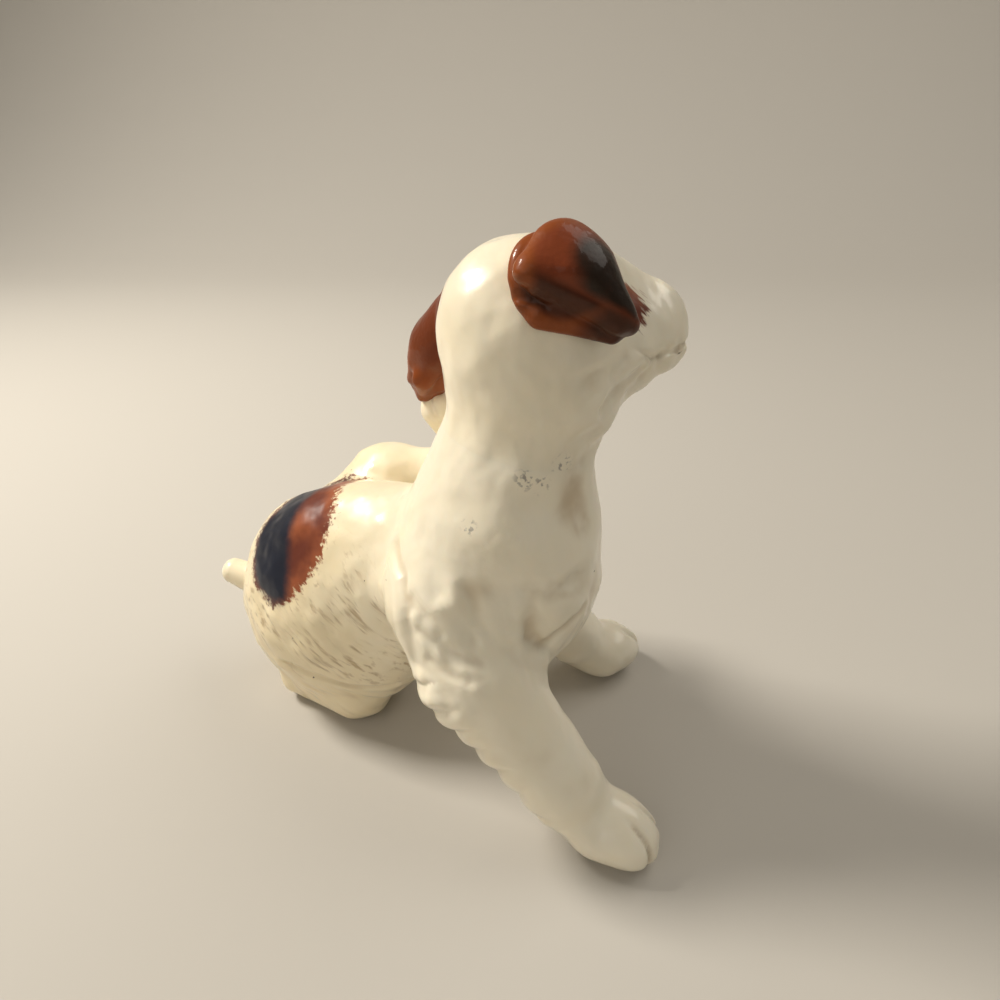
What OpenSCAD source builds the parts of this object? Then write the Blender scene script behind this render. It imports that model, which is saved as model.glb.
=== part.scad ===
// Glazed porcelain puppy, seated, scratching its left ear with a raised hind leg.
// Slip-cast in pieces and joined: hollow body and head, solid ears, legs and tail.
// +X points the way the chest faces, +Y is the animal's left, +Z is up.
// The origin is on the table, under the middle of the figure's outline. Millimetres.

/* [Figure] */
// Height that every place on the figure is measured by
figure_height = 148; // [134:1:162]
// Thickness of the cast wall of the hollow pieces
wall_thickness = 3.4; // [2.8:0.2:4.2]
// Width of the vent hole in the seat
vent_width = 6; // [4:0.5:8]

/* [Body] */
// Length of the rump, as a share of the height
rump_length_share = 0.4122; // [0.392:0.001:0.425]
// Width of the rump, as a share of the height
rump_width_share = 0.3108; // [0.300:0.001:0.320]
// Width of the chest, as a share of the height
chest_width_share = 0.3243; // [0.311:0.001:0.345]
// Width of the neck below the head, as a share of the height
neck_width_share = 0.2365; // [0.223:0.001:0.250]
// Width of the folded hind leg under the haunch, as a share of the height
folded_leg_width_share = 0.1284; // [0.115:0.001:0.135]

/* [Head] */
// Width of the skull between the ears, as a share of the height
skull_width_share = 0.2635; // [0.250:0.001:0.277]
// Distance from the middle of the skull to the nose, as a share of the height
muzzle_length_share = 0.2824; // [0.265:0.001:0.300]
// Width of the muzzle near the nose, as a share of the height
muzzle_width_share = 0.1216; // [0.108:0.001:0.135]
// Turn of the head to the left, degrees
head_turn = 42; // [38:1:46]
// Raise of the nose, degrees
head_raise = 5; // [2:1:8]
// Lean of the head to the left, degrees
head_lean = 28; // [25:1:31]

/* [Ears] */
// Width of the root of each ear, as a share of the height
ear_root_width_share = 0.1419; // [0.128:0.001:0.155]
// Thickness of the folded flap, as a share of the height
ear_thickness_share = 0.0743; // [0.068:0.001:0.081]

/* [Legs] */
// Width of a foreleg below the elbow, as a share of the height
foreleg_width_share = 0.1622; // [0.149:0.001:0.176]
// Length of a front paw, as a share of the height
paw_length_share = 0.1892; // [0.176:0.001:0.203]
// Width of a front paw, as a share of the height
paw_width_share = 0.1486; // [0.135:0.001:0.155]
// Width of the raised thigh at the knee, as a share of the height
thigh_width_share = 0.1622; // [0.149:0.001:0.176]
// Width of the scratching paw, as a share of the height
scratching_paw_width_share = 0.0845; // [0.074:0.001:0.095]

/* [Tail] */
// Width of the tail at its tip, as a share of the height
tail_tip_width_share = 0.0541; // [0.047:0.001:0.061]

/* [Hidden] */

// Colours of the fired glaze
white_glaze = [0.93, 0.90, 0.82];
brown_glaze = [0.45, 0.22, 0.14];

// Lines cast round the inside of a hollow piece, half as many as round its outside, and round a solid one
hollow_lines = 25;
limb_lines = 24;
ear_lines = 26;
tail_lines = 18;
// Steps that find the skin along a line
tries = 18;
full_turn = 360;
right_angle = full_turn / 4;

// Sizes that follow from the height
rump_length = rump_length_share * figure_height;
rump_width = rump_width_share * figure_height;
chest_width = chest_width_share * figure_height;
neck_width = neck_width_share * figure_height;
folded_leg_width = folded_leg_width_share * figure_height;
skull_width = skull_width_share * figure_height;
muzzle_length = muzzle_length_share * figure_height;
muzzle_width = muzzle_width_share * figure_height;
ear_root_width = ear_root_width_share * figure_height;
ear_thickness = ear_thickness_share * figure_height;
foreleg_width = foreleg_width_share * figure_height;
paw_length = paw_length_share * figure_height;
paw_width = paw_width_share * figure_height;
thigh_width = thigh_width_share * figure_height;
scratching_paw_width = scratching_paw_width_share * figure_height;
tail_tip_width = tail_tip_width_share * figure_height;

// Where the middle of the outline lies, so that it can be brought to the origin
middle_shares = [0.0678, -0.0655, 0];

// Places on the trunk, as shares of the height
rump_shares = [-0.270, 0.135, 0.213];
loins_shares = [-0.081, 0.074, 0.365];
chest_shares = [0.108, 0.020, 0.446];
haunch_shares = [-0.223, 0.047, 0.203];
neck_foot_shares = [0.101, 0.027, 0.541];
neck_top_shares = [0.139, 0.050, 0.743];
skull_shares = [0.132, 0.061, 0.845];
dock_root_shares = [-0.432, 0.162, 0.194];
dock_tip_shares = [-0.534, 0.162, 0.225];
// Places down the front legs
right_shoulder_shares = [0.034, -0.081, 0.419];
right_elbow_shares = [0.088, -0.135, 0.318];
right_wrist_shares = [0.250, -0.176, 0.135];
right_paw_shares = [0.334, -0.184, 0.057];
left_shoulder_shares = [0.054, 0.108, 0.392];
left_elbow_shares = [0.095, 0.162, 0.284];
left_wrist_shares = [0.216, 0.230, 0.122];
left_paw_shares = [0.284, 0.274, 0.057];
// Places along the folded hind leg and the raised one, and the middle of the left ear
heel_shares = [-0.343, 0.077, 0.061];
toes_shares = [-0.207, 0.040, 0.056];
hip_shares = [-0.311, 0.196, 0.297];
knee_shares = [-0.203, 0.291, 0.412];
hock_shares = [0.020, 0.311, 0.459];
scratching_shares = [-0.056, 0.224, 0.637];
left_ear_shares = [-0.043, 0.190, 0.768];
// Places of the seams, and of the hinge and the middles that the body's pages turn by
right_leg_seam_shares = [0.076, -0.126, 0.327];
left_leg_seam_shares = [0.098, 0.166, 0.296];
thigh_seam_shares = [-0.250, 0.257, 0.362];
tail_seam_shares = [-0.467, 0.161, 0.206];
belly_shares = [-0.020, 0.047, 0.162];
seat_shares = [-0.270, 0.135, 0.162];
breast_shares = [0.088, 0.030, 0.486];
// Ways in which the seams face, and the level way in which the body bends
right_leg_seam_way = [0.30, -0.85, -0.43];
left_leg_seam_way = [0.55, 0.70, -0.45];
thigh_seam_way = [0, 0.92, 0.38];
tail_seam_way = [-0.97, 0.23, 0.01];
bend_way = [0.284, 0.959, 0];
right_paw_way = [0.97, -0.20, -0.05];
left_paw_way = [0.81, 0.57, -0.05];

// Soft bands between lumps, as shares of the height
body_soft_share = 0.095;
neck_soft_share = 0.08;
limb_soft_share = 0.06;
joint_soft_share = 0.04;
crease_soft_share = 0.022;
rim_soft_share = 0.01;

// Forms of the lumps, as shares of the sizes that they go by
rump_form_shares = [1, 1, 1.54];
loins_form_shares = [1.11, 0.87, 1.04];
chest_form_shares = [1.04, 1, 1.33];
haunch_form_shares = [1.04, 0.61, 0.96];
skull_form_shares = [1.041, 1, 1.041];
brow_form_shares = [0.32, 0.68, 0.28];
nose_form_shares = [0.36, 0.50, 0.38];
right_paw_form_shares = [1, 0.88, 0.86];
left_paw_form_shares = [0.93, 0.91, 0.82];
right_disc_form_shares = [0.94, 0.34, 0.94];
left_disc_form_shares = [1, 0.34, 1];
right_flap_form_shares = [1, 1, 1.11];
left_flap_form_shares = [1.80, 0.88, 1.10];
// Widths at the two ends of each bar, as shares of the width that it goes by
neck_end_shares = [1.09, 1];
muzzle_end_shares = [1.5, 1];
bridge_end_shares = [1.2, 0.756];
jaw_end_shares = [1.22, 0.89];
right_shoulder_end_shares = [1.3, 1.04];
right_shin_end_shares = [1.04, 0.88];
left_shoulder_end_shares = [1.25, 1];
left_shin_end_shares = [1, 0.79];
folded_leg_end_shares = [1, 1];
thigh_end_shares = [1.42, 1];
hock_width_share = 1.28;
dock_end_shares = [1.5, 1];
right_tip_end_shares = [1.25, 0.40];
right_edge_end_shares = [0.29, 0.36];
right_lap_end_shares = [0.47, 0.47];
left_fold_end_shares = [0.58, 0.72];

// Turns, raises and leans of the lumps that aren't upright
upright_angles = [0, 0, 0];
loins_angles = [-15, 8, 0];
head_angles = [head_turn, head_raise, head_lean];
right_paw_angles = [-12, -12, 0];
left_paw_angles = [35, -10, 0];
left_ear_angles = [156, -65, 20];

// Places on the head from the middle of the skull: forward, left and up, as shares of its width
skull_place = [0.005, 0, 0.02];
brow_place = [0.36, 0, 0.20];
muzzle_root = [0.26, 0, -0.15];
muzzle_drop_share = -0.18;
bridge_root = [0.45, 0.06, 0.20];
bridge_tip = [0.86, 0.03, -0.04];
nose_gap_share = 0.19;
nose_drop_share = -0.11;
jaw_root = [0.21, 0, -0.33];
jaw_gap_share = -0.05;
jaw_drop_share = -0.28;
right_disc_place = [-0.02, -0.45, 0.17];
right_flap_place = [-0.01, -0.58, 0.16];
right_fold_place = [0.05, -0.62, 0.08];
right_tip_place = [0.20, -0.66, -0.18];
right_edge_root_place = [-0.235, -0.60, 0.225];
right_edge_tip_place = [0.15, -0.66, -0.13];
right_lap_root_place = [-0.16, -0.49, 0.01];
right_lap_tip_place = [0.17, -0.57, -0.175];
left_disc_place = [-0.05, 0.43, 0.20];
left_fold_place = [-0.05, 0.44, 0.20];
right_root = [-0.04, -0.94, 0.34];
left_root = [-0.12, 0.88, 0.46];
// Where the ears' seams lie between the middle of the skull and its skin, and how far they reach
root_depth_share = 0.43;
right_root_reach_share = 0.56;
left_root_reach_share = 0.65;
// How far along the left flap its pages go
left_flap_share = 0.68;
// How far the front legs' seams reach, and the room left between a flap and the head
leg_seam_reach_share = 1.2;
thigh_depth_share = 0.037;
flap_room_share = 0.005;
// Where the neck is parted, and where the scratching paw meets the ear
neck_seam_share = 0.66;
scratch_share = 0.5;

function at(shares) = (shares + middle_shares) * figure_height;
function unit(v) = v / norm(v);
function clamp(x) = max(0, min(1, x));
function shared(sizes, shares) = [sizes.x * shares.x, sizes.y * shares.y, sizes.z * shares.z];

// Forward, left and up axes after a turn, a raise and a lean
function axes(angles) =
    let (turn = angles.x, raise = angles.y, lean = angles.z)
    let (f = [cos(turn) * cos(raise), sin(turn) * cos(raise), sin(raise)])
    let (l = [-sin(turn), cos(turn), 0])
    let (u = cross(f, l))
    [f, l * cos(lean) - u * sin(lean), u * cos(lean) + l * sin(lean)];

// A lump shaped like an egg: its middle, its measuring matrix and its least radius
function egg(middle, widths, set) =
    let (radii = widths / 2)
    [middle, [set[0] / radii.x, set[1] / radii.y, set[2] / radii.z], min(radii)];
function to_egg(p, e) = (norm(e[1] * (p - e[0])) - 1) * e[2];

// A lump shaped like a tapered bar: its ends and their radii
function bar(from, to, width, end_shares) =
    [from, to, end_shares[0] * width / 2, end_shares[1] * width / 2];
function to_bar(p, b) =
    let (axis = b[1] - b[0], along = clamp((p - b[0]) * axis / (axis * axis)))
    norm(p - b[0] - axis * along) - b[2] - (b[3] - b[2]) * along;

// Two lumps smoothed into one another over a soft band
function melt(a, b, soft) = min(a, b) - pow(max(soft - abs(a - b), 0), 2) / (4 * soft);

upright = axes(upright_angles);
body_soft = body_soft_share * figure_height;
neck_soft = neck_soft_share * figure_height;
limb_soft = limb_soft_share * figure_height;
joint_soft = joint_soft_share * figure_height;
crease_soft = crease_soft_share * figure_height;
rim_soft = rim_soft_share * figure_height;

// Rump, loins, chest, haunch and neck
rump_sizes = [rump_length, rump_width, rump_width];
rump = egg(at(rump_shares), shared(rump_sizes, rump_form_shares), upright);
loins = egg(at(loins_shares), shared(rump_sizes, loins_form_shares), axes(loins_angles));
chest = egg(at(chest_shares), chest_form_shares * chest_width, upright);
haunch = egg(at(haunch_shares), haunch_form_shares * rump_width, upright);
neck = bar(at(neck_foot_shares), at(neck_top_shares), neck_width, neck_end_shares);

// Skull, muzzle and jaw, set out from the middle of the skull
skull_middle = at(skull_shares);
head_set = axes(head_angles);
function on_head(shares) = skull_middle + (shares * skull_width) * head_set;
muzzle_share = (muzzle_length - muzzle_width / 2) / skull_width;
skull = egg(on_head(skull_place), skull_form_shares * skull_width, head_set);
muzzle = bar(on_head(muzzle_root), on_head([muzzle_share, 0, muzzle_drop_share]), muzzle_width,
    muzzle_end_shares);
nose = egg(on_head([muzzle_share + nose_gap_share, 0, nose_drop_share]), nose_form_shares * muzzle_width,
    head_set);
brow = egg(on_head(brow_place), brow_form_shares * skull_width, head_set);
bridge = bar(on_head(bridge_root), on_head(bridge_tip), muzzle_width, bridge_end_shares);
jaw = bar(on_head(jaw_root), on_head([muzzle_share + jaw_gap_share, 0, jaw_drop_share]), muzzle_width,
    jaw_end_shares);

// Front legs: shoulder, shin and paw
paw_sizes = [paw_length, paw_width, paw_width];
right_elbow = at(right_elbow_shares);
left_elbow = at(left_elbow_shares);
right_shoulder = bar(at(right_shoulder_shares), right_elbow, foreleg_width, right_shoulder_end_shares);
right_shin = bar(right_elbow, at(right_wrist_shares), foreleg_width, right_shin_end_shares);
right_paw = egg(at(right_paw_shares), shared(paw_sizes, right_paw_form_shares), axes(right_paw_angles));
left_shoulder = bar(at(left_shoulder_shares), left_elbow, foreleg_width, left_shoulder_end_shares);
left_shin = bar(left_elbow, at(left_wrist_shares), foreleg_width, left_shin_end_shares);
left_paw = egg(at(left_paw_shares), shared(paw_sizes, left_paw_form_shares), axes(left_paw_angles));

// Folded right hind leg, and the raised left one: thigh, shank and paw
knee = at(knee_shares);
hock = at(hock_shares);
folded_leg = bar(at(heel_shares), at(toes_shares), folded_leg_width, folded_leg_end_shares);
thigh = bar(at(hip_shares), knee, thigh_width, thigh_end_shares);
shank = bar(knee, hock, thigh_width, [1, hock_width_share * scratching_paw_width / thigh_width]);
hind_paw = bar(hock, at(scratching_shares), scratching_paw_width, [hock_width_share, 1]);

// Tail
dock = bar(at(dock_root_shares), at(dock_tip_shares), tail_tip_width, dock_end_shares);

// Ears: root disc, flap and tip
flap_sizes = [ear_root_width, ear_thickness, ear_root_width];
left_flap_sizes = [ear_root_width, ear_root_width, ear_thickness];
right_disc = egg(on_head(right_disc_place), right_disc_form_shares * ear_root_width, head_set);
right_flap = egg(on_head(right_flap_place), shared(flap_sizes, right_flap_form_shares), head_set);
right_tip = bar(on_head(right_fold_place), on_head(right_tip_place), ear_thickness, right_tip_end_shares);
right_edge = bar(on_head(right_edge_root_place), on_head(right_edge_tip_place), ear_thickness,
    right_edge_end_shares);
right_lap = bar(on_head(right_lap_root_place), on_head(right_lap_tip_place), ear_thickness,
    right_lap_end_shares);
left_disc = egg(on_head(left_disc_place), left_disc_form_shares * ear_root_width, head_set);
left_ear_place = at(left_ear_shares);
left_ear_set = axes(left_ear_angles);
left_fold = bar(on_head(left_fold_place), left_ear_place, ear_root_width, left_fold_end_shares);
left_flap = egg(left_ear_place, shared(left_flap_sizes, left_flap_form_shares), left_ear_set);

// The clay of the trunk without its limbs, and of the whole figure without its ears
function torso(p) =
    melt(melt(melt(melt(to_egg(p, rump), to_egg(p, loins), body_soft), to_egg(p, chest), neck_soft),
        to_egg(p, haunch), limb_soft), to_bar(p, neck), neck_soft);
function skull_and_jaw(p) =
    melt(melt(melt(to_egg(p, skull), to_bar(p, muzzle), limb_soft), to_bar(p, bridge), joint_soft),
        to_bar(p, jaw), joint_soft);
function trunk(p) = melt(torso(p), skull_and_jaw(p), limb_soft);
function right_foreleg(p) =
    melt(melt(to_bar(p, right_shoulder), to_bar(p, right_shin), joint_soft), to_egg(p, right_paw),
        joint_soft);
function left_foreleg(p) =
    melt(melt(to_bar(p, left_shoulder), to_bar(p, left_shin), joint_soft), to_egg(p, left_paw),
        joint_soft);
function raised_leg(p) =
    melt(melt(to_bar(p, thigh), to_bar(p, shank), joint_soft), to_bar(p, hind_paw), crease_soft);

// Flat seams where a piece is stuck on: a place, the way the piece leads off, and a reach
function seam(place, way, reach) = [place, unit(way), reach];
function past(p, s) = (p - s[0]) * s[1];
function near_seam(p, s) = norm(p - s[0] - s[1] * past(p, s)) < s[2];
function cut(p, s) = near_seam(p, s) ? past(p, s) : -s[2];

neck_way = unit(neck[1] - neck[0]);
neck_seam = seam(neck[0] + (neck[1] - neck[0]) * neck_seam_share, neck_way, neck_width);
leg_seam_reach = leg_seam_reach_share * foreleg_width;
right_leg_seam = seam(at(right_leg_seam_shares), right_leg_seam_way, leg_seam_reach);
left_leg_seam = seam(at(left_leg_seam_shares), left_leg_seam_way, leg_seam_reach);
// The thigh's seam lies just under the skin of the rump, which is found from inside it
thigh_out = unit(thigh_seam_way);
thigh_skin = skin(function (p) torso(p), at(thigh_seam_shares) - thigh_out * rump_width / 4, thigh_out);
thigh_seam = seam(thigh_skin - thigh_out * thigh_depth_share * thigh_width, thigh_out, thigh_width);
shank_way = unit(shank[1] - shank[0]);
paw_way = unit(hind_paw[1] - hind_paw[0]);
hock_seam = seam(hock, shank_way + paw_way, 2 * scratching_paw_width);
ear_end = left_ear_place + left_ear_set[0] * left_flap_share * ear_root_width;
scratch_way = ear_end - hind_paw[1];
scratch_seam = seam(hind_paw[1] + scratch_way * scratch_share, scratch_way, scratching_paw_width);
tail_seam = seam(at(tail_seam_shares), tail_seam_way, 2 * tail_tip_width);
right_ear_seam = seam(on_head(right_root * root_depth_share), right_root * head_set,
    right_root_reach_share * ear_root_width);
left_ear_seam = seam(on_head(left_root * root_depth_share), left_root * head_set,
    left_root_reach_share * ear_root_width);
flap_room = flap_room_share * figure_height;

function clay_of_body(p) =
    max(melt(melt(melt(melt(melt(trunk(p), to_bar(p, right_shoulder), limb_soft),
        to_bar(p, left_shoulder), limb_soft), to_bar(p, thigh), crease_soft),
        to_bar(p, folded_leg), crease_soft), to_bar(p, dock), crease_soft),
        cut(p, right_leg_seam), cut(p, left_leg_seam), cut(p, thigh_seam), cut(p, tail_seam), -p.z);
function hollow_of_body(p) =
    max(torso(p), past(p, right_leg_seam), past(p, left_leg_seam), past(p, thigh_seam), past(p, tail_seam),
        -p.z) + wall_thickness;
function clay_of_head(p) =
    max(melt(melt(trunk(p), to_egg(p, brow), joint_soft), to_egg(p, nose), rim_soft),
        cut(p, right_ear_seam), cut(p, left_ear_seam));
function hollow_of_head(p) = max(trunk(p), past(p, right_ear_seam), past(p, left_ear_seam)) + wall_thickness;
function clay_of_right_front_leg(p) =
    max(melt(torso(p), right_foreleg(p), limb_soft), -p.z);
function clay_of_left_front_leg(p) =
    max(melt(torso(p), left_foreleg(p), limb_soft), -p.z);
function clay_of_left_hind_leg(p) = melt(torso(p), raised_leg(p), crease_soft);
function clay_of_left_hind_paw(p) = max(raised_leg(p), past(p, scratch_seam));
function clay_of_tail(p) = melt(torso(p), to_bar(p, dock), crease_soft);
function rooted(p, lump, s) =
    near_seam(p, s) ? melt(trunk(p), lump, rim_soft) : max(lump, flap_room - trunk(p));
edge_up = cross(unit(right_root * head_set), unit(right_edge[1] - right_edge[0]));
function above_edge(p) = (p - right_edge[0]) * edge_up;
function right_upper_flap(p) =
    melt(max(melt(to_egg(p, right_flap), to_bar(p, right_tip), joint_soft), -above_edge(p)),
        to_bar(p, right_edge), joint_soft);
function clay_of_right_ear(p) =
    rooted(p, melt(melt(to_egg(p, right_disc), to_bar(p, right_lap), rim_soft), right_upper_flap(p), rim_soft),
        right_ear_seam);
function clay_of_left_ear(p) =
    max(rooted(p, melt(to_egg(p, left_disc), melt(to_bar(p, left_fold), to_egg(p, left_flap), joint_soft),
        crease_soft), left_ear_seam), -past(p, scratch_seam));

// How far a line runs inside the clay before it first comes out
function run_out(clay, from, way, low, high, t, left) =
    left <= 0 ? t :
    let (f = clay(from + way * t))
    f < 0 ? run_out(clay, from, way, t, high, min(t - f, high), left - 1)
          : run_out(clay, from, way, low, t, (low + t) / 2, left - 1);
function skin(clay, from, way) =
    from + way * run_out(clay, from, way, 0, figure_height, 0, tries);

// A page is a middle, two ways that span it and the way it faces
function page(middle, face, keel) =
    let (n = unit(face), across = unit(keel - n * (keel * n)))
    [middle, across, cross(n, across), n];
// Pages that turn about a hinge while their middles go from one place to another
function fan(hinge, pin, from, to, steps, keel) =
    [for (i = [0:1:steps]) let (c = from + (to - from) * i / steps) page(c, cross(pin, c - hinge), keel)];
// Pages that face one way while their middles go from one place to another
function stack(from, to, way, steps, keel) =
    [for (i = [1:1:steps]) page(from + (to - from) * i / steps, way, keel)];
// A ring of places on the skin, cast from a page and tipped by an angle out of it
function ring(clay, page, lines, tip) =
    [for (i = [0:1:lines - 1]) let (a = full_turn * i / lines)
        skin(clay, page[0], (page[1] * cos(a) + page[2] * sin(a)) * cos(tip) + page[3] * sin(tip))];
// Rings that close over an end, up to but not with its last place
function cap(clay, page, lines, steps) =
    [for (i = [1:1:steps - 1]) ring(clay, page, lines, right_angle * i / steps)];
function tip_of(clay, page) = skin(clay, page[0], page[3]);

// Faces between rings, from an end fan, and between a ring and one of half as many places
function band(lines, rings, first) =
    [for (r = [0:1:rings - 2], i = [0:1:lines - 1])
        let (a = first + r * lines, j = (i + 1) % lines)
        each [[a + i, a + lines + i, a + lines + j], [a + i, a + lines + j, a + j]]];
function lid(lines, first, point) =
    [for (i = [0:1:lines - 1]) [first + i, point, first + (i + 1) % lines]];
function backwards(faces) = [for (f = faces) [f[2], f[1], f[0]]];
function stitch(few, from, to) =
    [for (i = [0:1:few - 1])
        let (a = from + 2 * i, b = a + 1, c = from + (2 * i + 2) % (2 * few))
        let (d = to + i, e = to + (i + 1) % few)
        each [[a, d, b], [b, d, e], [b, e, c]]];

// A solid piece: its rings run from a flat seam to a rounded end
module solid_piece(clay, pages, wanted_lines, cap_steps) {
    lines = round(wanted_lines);
    last = pages[len(pages) - 1];
    rings = concat([for (p = pages) ring(clay, p, lines, 0)], cap(clay, last, lines, cap_steps));
    count = len(rings);
    points = concat([for (r = rings) each r], [pages[0][0], tip_of(clay, last)]);
    polyhedron(points, concat(band(lines, count, 0), lid(lines, (count - 1) * lines, count * lines + 1),
        backwards(lid(lines, 0, count * lines))), convexity = 6);
}

// A solid piece with a flat seam at both ends
module linking_piece(clay, pages, wanted_lines) {
    lines = round(wanted_lines);
    count = len(pages);
    points = concat([for (p = pages) each ring(clay, p, lines, 0)], [pages[0][0], pages[count - 1][0]]);
    polyhedron(points, concat(band(lines, count, 0), lid(lines, (count - 1) * lines, count * lines + 1),
        backwards(lid(lines, 0, count * lines))), convexity = 6);
}

// A hollow piece: an outer skin and an inner one, joined round its mouth, and round a vent if it has one
module hollow_piece(outer, inner, lines, tips) {
    few = lines / 2;
    outer_count = len(outer);
    inner_count = len(inner);
    hollow_first = outer_count * lines;
    ends = hollow_first + inner_count * few;
    points = concat([for (r = outer) each r], [for (r = inner) each r], tips);
    skins = concat(band(lines, outer_count, 0), backwards(band(few, inner_count, hollow_first)));
    closed = len(tips) > 0 ?
        concat(lid(lines, hollow_first - lines, ends), backwards(lid(few, ends - few, ends + 1)),
            backwards(stitch(few, 0, hollow_first))) :
        concat(stitch(few, hollow_first - lines, ends - few), backwards(stitch(few, 0, hollow_first)));
    polyhedron(points, concat(skins, closed), convexity = 10);
}

// Pages that swing from a seam to a new way about a hinge beside it, and end on a given axis
function hinge_at(middle, face, way, reach) = middle + unit(way - face * (way * face)) * reach;
function swing(middle, face, way, reach, axis_place, steps, keel) =
    let (h = hinge_at(middle, face, way, reach), to = axis_place + way * ((h - axis_place) * way))
    fan(h, cross(face, h - middle), middle, to, steps, keel);
function rest_of(list) = [for (i = [1:1:len(list) - 1]) list[i]];
function end_of(pages) = pages[len(pages) - 1][0];
function every_second(list) = [for (i = [0:2:len(list) - 1]) list[i]];
function circle_at(page, radius, height, lines) =
    [for (i = [0:1:lines - 1]) let (a = full_turn * i / lines, way = page[1] * cos(a) + page[2] * sin(a))
        [page[0].x + radius * way.x, page[0].y + radius * way.y, height]];

// Body: pages turn under the belly and again behind the nape
nape_reach_share = 1.08;
loin_share = 0.67;
body_pin = unit(cross(neck_way, cross(unit(bend_way), neck_way)));
nape_hinge = neck_seam[0] - cross(body_pin, neck_way) * nape_reach_share * neck_width;
belly_hinge = at(belly_shares);
loin_middle = nape_hinge + (belly_hinge - nape_hinge) * loin_share;
body_pages = concat(
    fan(belly_hinge, body_pin, at(seat_shares), loin_middle, 18, body_pin),
    rest_of(fan(nape_hinge, -body_pin, loin_middle, at(breast_shares), 8, body_pin)),
    rest_of(fan(nape_hinge, -body_pin, at(breast_shares), neck_seam[0], 10, body_pin)));
// How far the lines that cast the seat tip below the first page, in degrees
vent_tip = -77;
lowest_tip = -71;
highest_tip = -8;
tip_step = 7;
seat_tips = [vent_tip, for (tip = [lowest_tip:tip_step:highest_tip]) tip];

module body() {
    color(white_glaze) {
        seat = body_pages[0];
        few = round(hollow_lines);
        lines = 2 * few;
        outer = concat([circle_at(seat, vent_width / 2, 0, lines)],
            [for (tip = seat_tips) ring(function (p) clay_of_body(p), seat, lines, tip)],
            [for (page = body_pages) ring(function (p) clay_of_body(p), page, lines, 0)]);
        inner = concat([circle_at(seat, vent_width / 2, wall_thickness, few)],
            [for (tip = every_second(seat_tips)) ring(function (p) hollow_of_body(p), seat, few, tip)],
            [for (page = every_second(body_pages)) ring(function (p) hollow_of_body(p), page, few, 0)]);
        hollow_piece(outer, inner, lines, []);
    }
}

// Head: pages turn at the throat, from the neck seam to the muzzle
throat_reach_share = 0.68;
head_middle_place = [0.02, 0, -0.06];
cheek_place = [0.45, 0, -0.18];
lip_gap_share = -0.10;
lip_drop_share = -0.22;
head_way = head_set[0];
throat_hinge = hinge_at(neck_seam[0], neck_way, head_way, throat_reach_share * neck_width);
head_pin = unit(cross(neck_way, throat_hinge - neck_seam[0]));
lips = on_head([muzzle_share + lip_gap_share, 0, lip_drop_share]);
head_pages = concat(
    fan(throat_hinge, head_pin, neck_seam[0], on_head(head_middle_place), 7, head_pin),
    rest_of(fan(throat_hinge, head_pin, on_head(head_middle_place), on_head(cheek_place), 7, head_pin)),
    stack(on_head(cheek_place), lips, head_way, 4, head_pin));

module head() {
    color(white_glaze) {
        few = round(hollow_lines);
        lines = 2 * few;
        last = head_pages[len(head_pages) - 1];
        outer = concat([for (page = head_pages) ring(function (p) clay_of_head(p), page, lines, 0)],
            cap(function (p) clay_of_head(p), last, lines, 6));
        inner = concat(
            [for (page = every_second(head_pages)) ring(function (p) hollow_of_head(p), page, few, 0)],
            cap(function (p) hollow_of_head(p), last, few, 3));
        hollow_piece(outer, inner, lines,
            [tip_of(function (p) clay_of_head(p), last), tip_of(function (p) hollow_of_head(p), last)]);
    }
}

// Front legs: pages swing from the chest to the shin, and again from the shin to the paw
wrist_share = 0.08;
wrist_reach_share = 0.66;
function front_leg_pages(seam_of_leg, shin, paw, foot_way) =
    let (way = unit(shin[1] - shin[0]), wrist = shin[1] + (shin[0] - shin[1]) * wrist_share)
    let (upper = swing(seam_of_leg[0], seam_of_leg[1], way, foreleg_width, shin[0], 7, upright[2]))
    let (foot = swing(wrist, way, foot_way, wrist_reach_share * foreleg_width, paw[0], 4, upright[2]))
    concat(upper, stack(end_of(upper), wrist, way, 4, upright[2]), rest_of(foot),
        stack(end_of(foot), paw[0], foot_way, 2, upright[2]));

module right_front_leg() {
    color(white_glaze)
        solid_piece(function (p) clay_of_right_front_leg(p),
            front_leg_pages(right_leg_seam, right_shin, right_paw, unit(right_paw_way)), limb_lines, 5);
}
module left_front_leg() {
    color(white_glaze)
        solid_piece(function (p) clay_of_left_front_leg(p),
            front_leg_pages(left_leg_seam, left_shin, left_paw, unit(left_paw_way)), limb_lines, 5);
}

// Raised hind leg: from the flank over the knee to the hock, and on to the scratching paw
hock_reach_share = 1.3;
hock_reach = hock_reach_share * scratching_paw_width;
hock_hinge = hinge_at(hock, hock_seam[1], paw_way, hock_reach);
module left_hind_leg() {
    upper = swing(thigh_seam[0], thigh_seam[1], shank_way, thigh_width, knee, 9, upright[2]);
    before = hock + shank_way * ((hock_hinge - hock) * shank_way);
    lower = fan(hock_hinge, cross(hock_seam[1], hock_hinge - hock), before, hock, 5, upright[2]);
    color(white_glaze)
        linking_piece(function (p) clay_of_left_hind_leg(p),
            concat(upper, stack(end_of(upper), before, shank_way, 4, upright[2]), rest_of(lower)),
            limb_lines);
}
module left_hind_paw() {
    upper = swing(hock, hock_seam[1], paw_way, hock_reach, hock, 5, upright[2]);
    color(white_glaze)
        solid_piece(function (p) clay_of_left_hind_paw(p),
            concat(upper, stack(end_of(upper), hind_paw[1], paw_way, 4, upright[2])), limb_lines, 5);
}

// Tail
module tail() {
    way = unit(dock[1] - dock[0]);
    color(white_glaze)
        solid_piece(function (p) clay_of_tail(p),
            concat([page(tail_seam[0], tail_seam[1], upright[1])],
                stack(tail_seam[0], dock[1], way, 4, upright[1])), tail_lines, 4);
}

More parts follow.
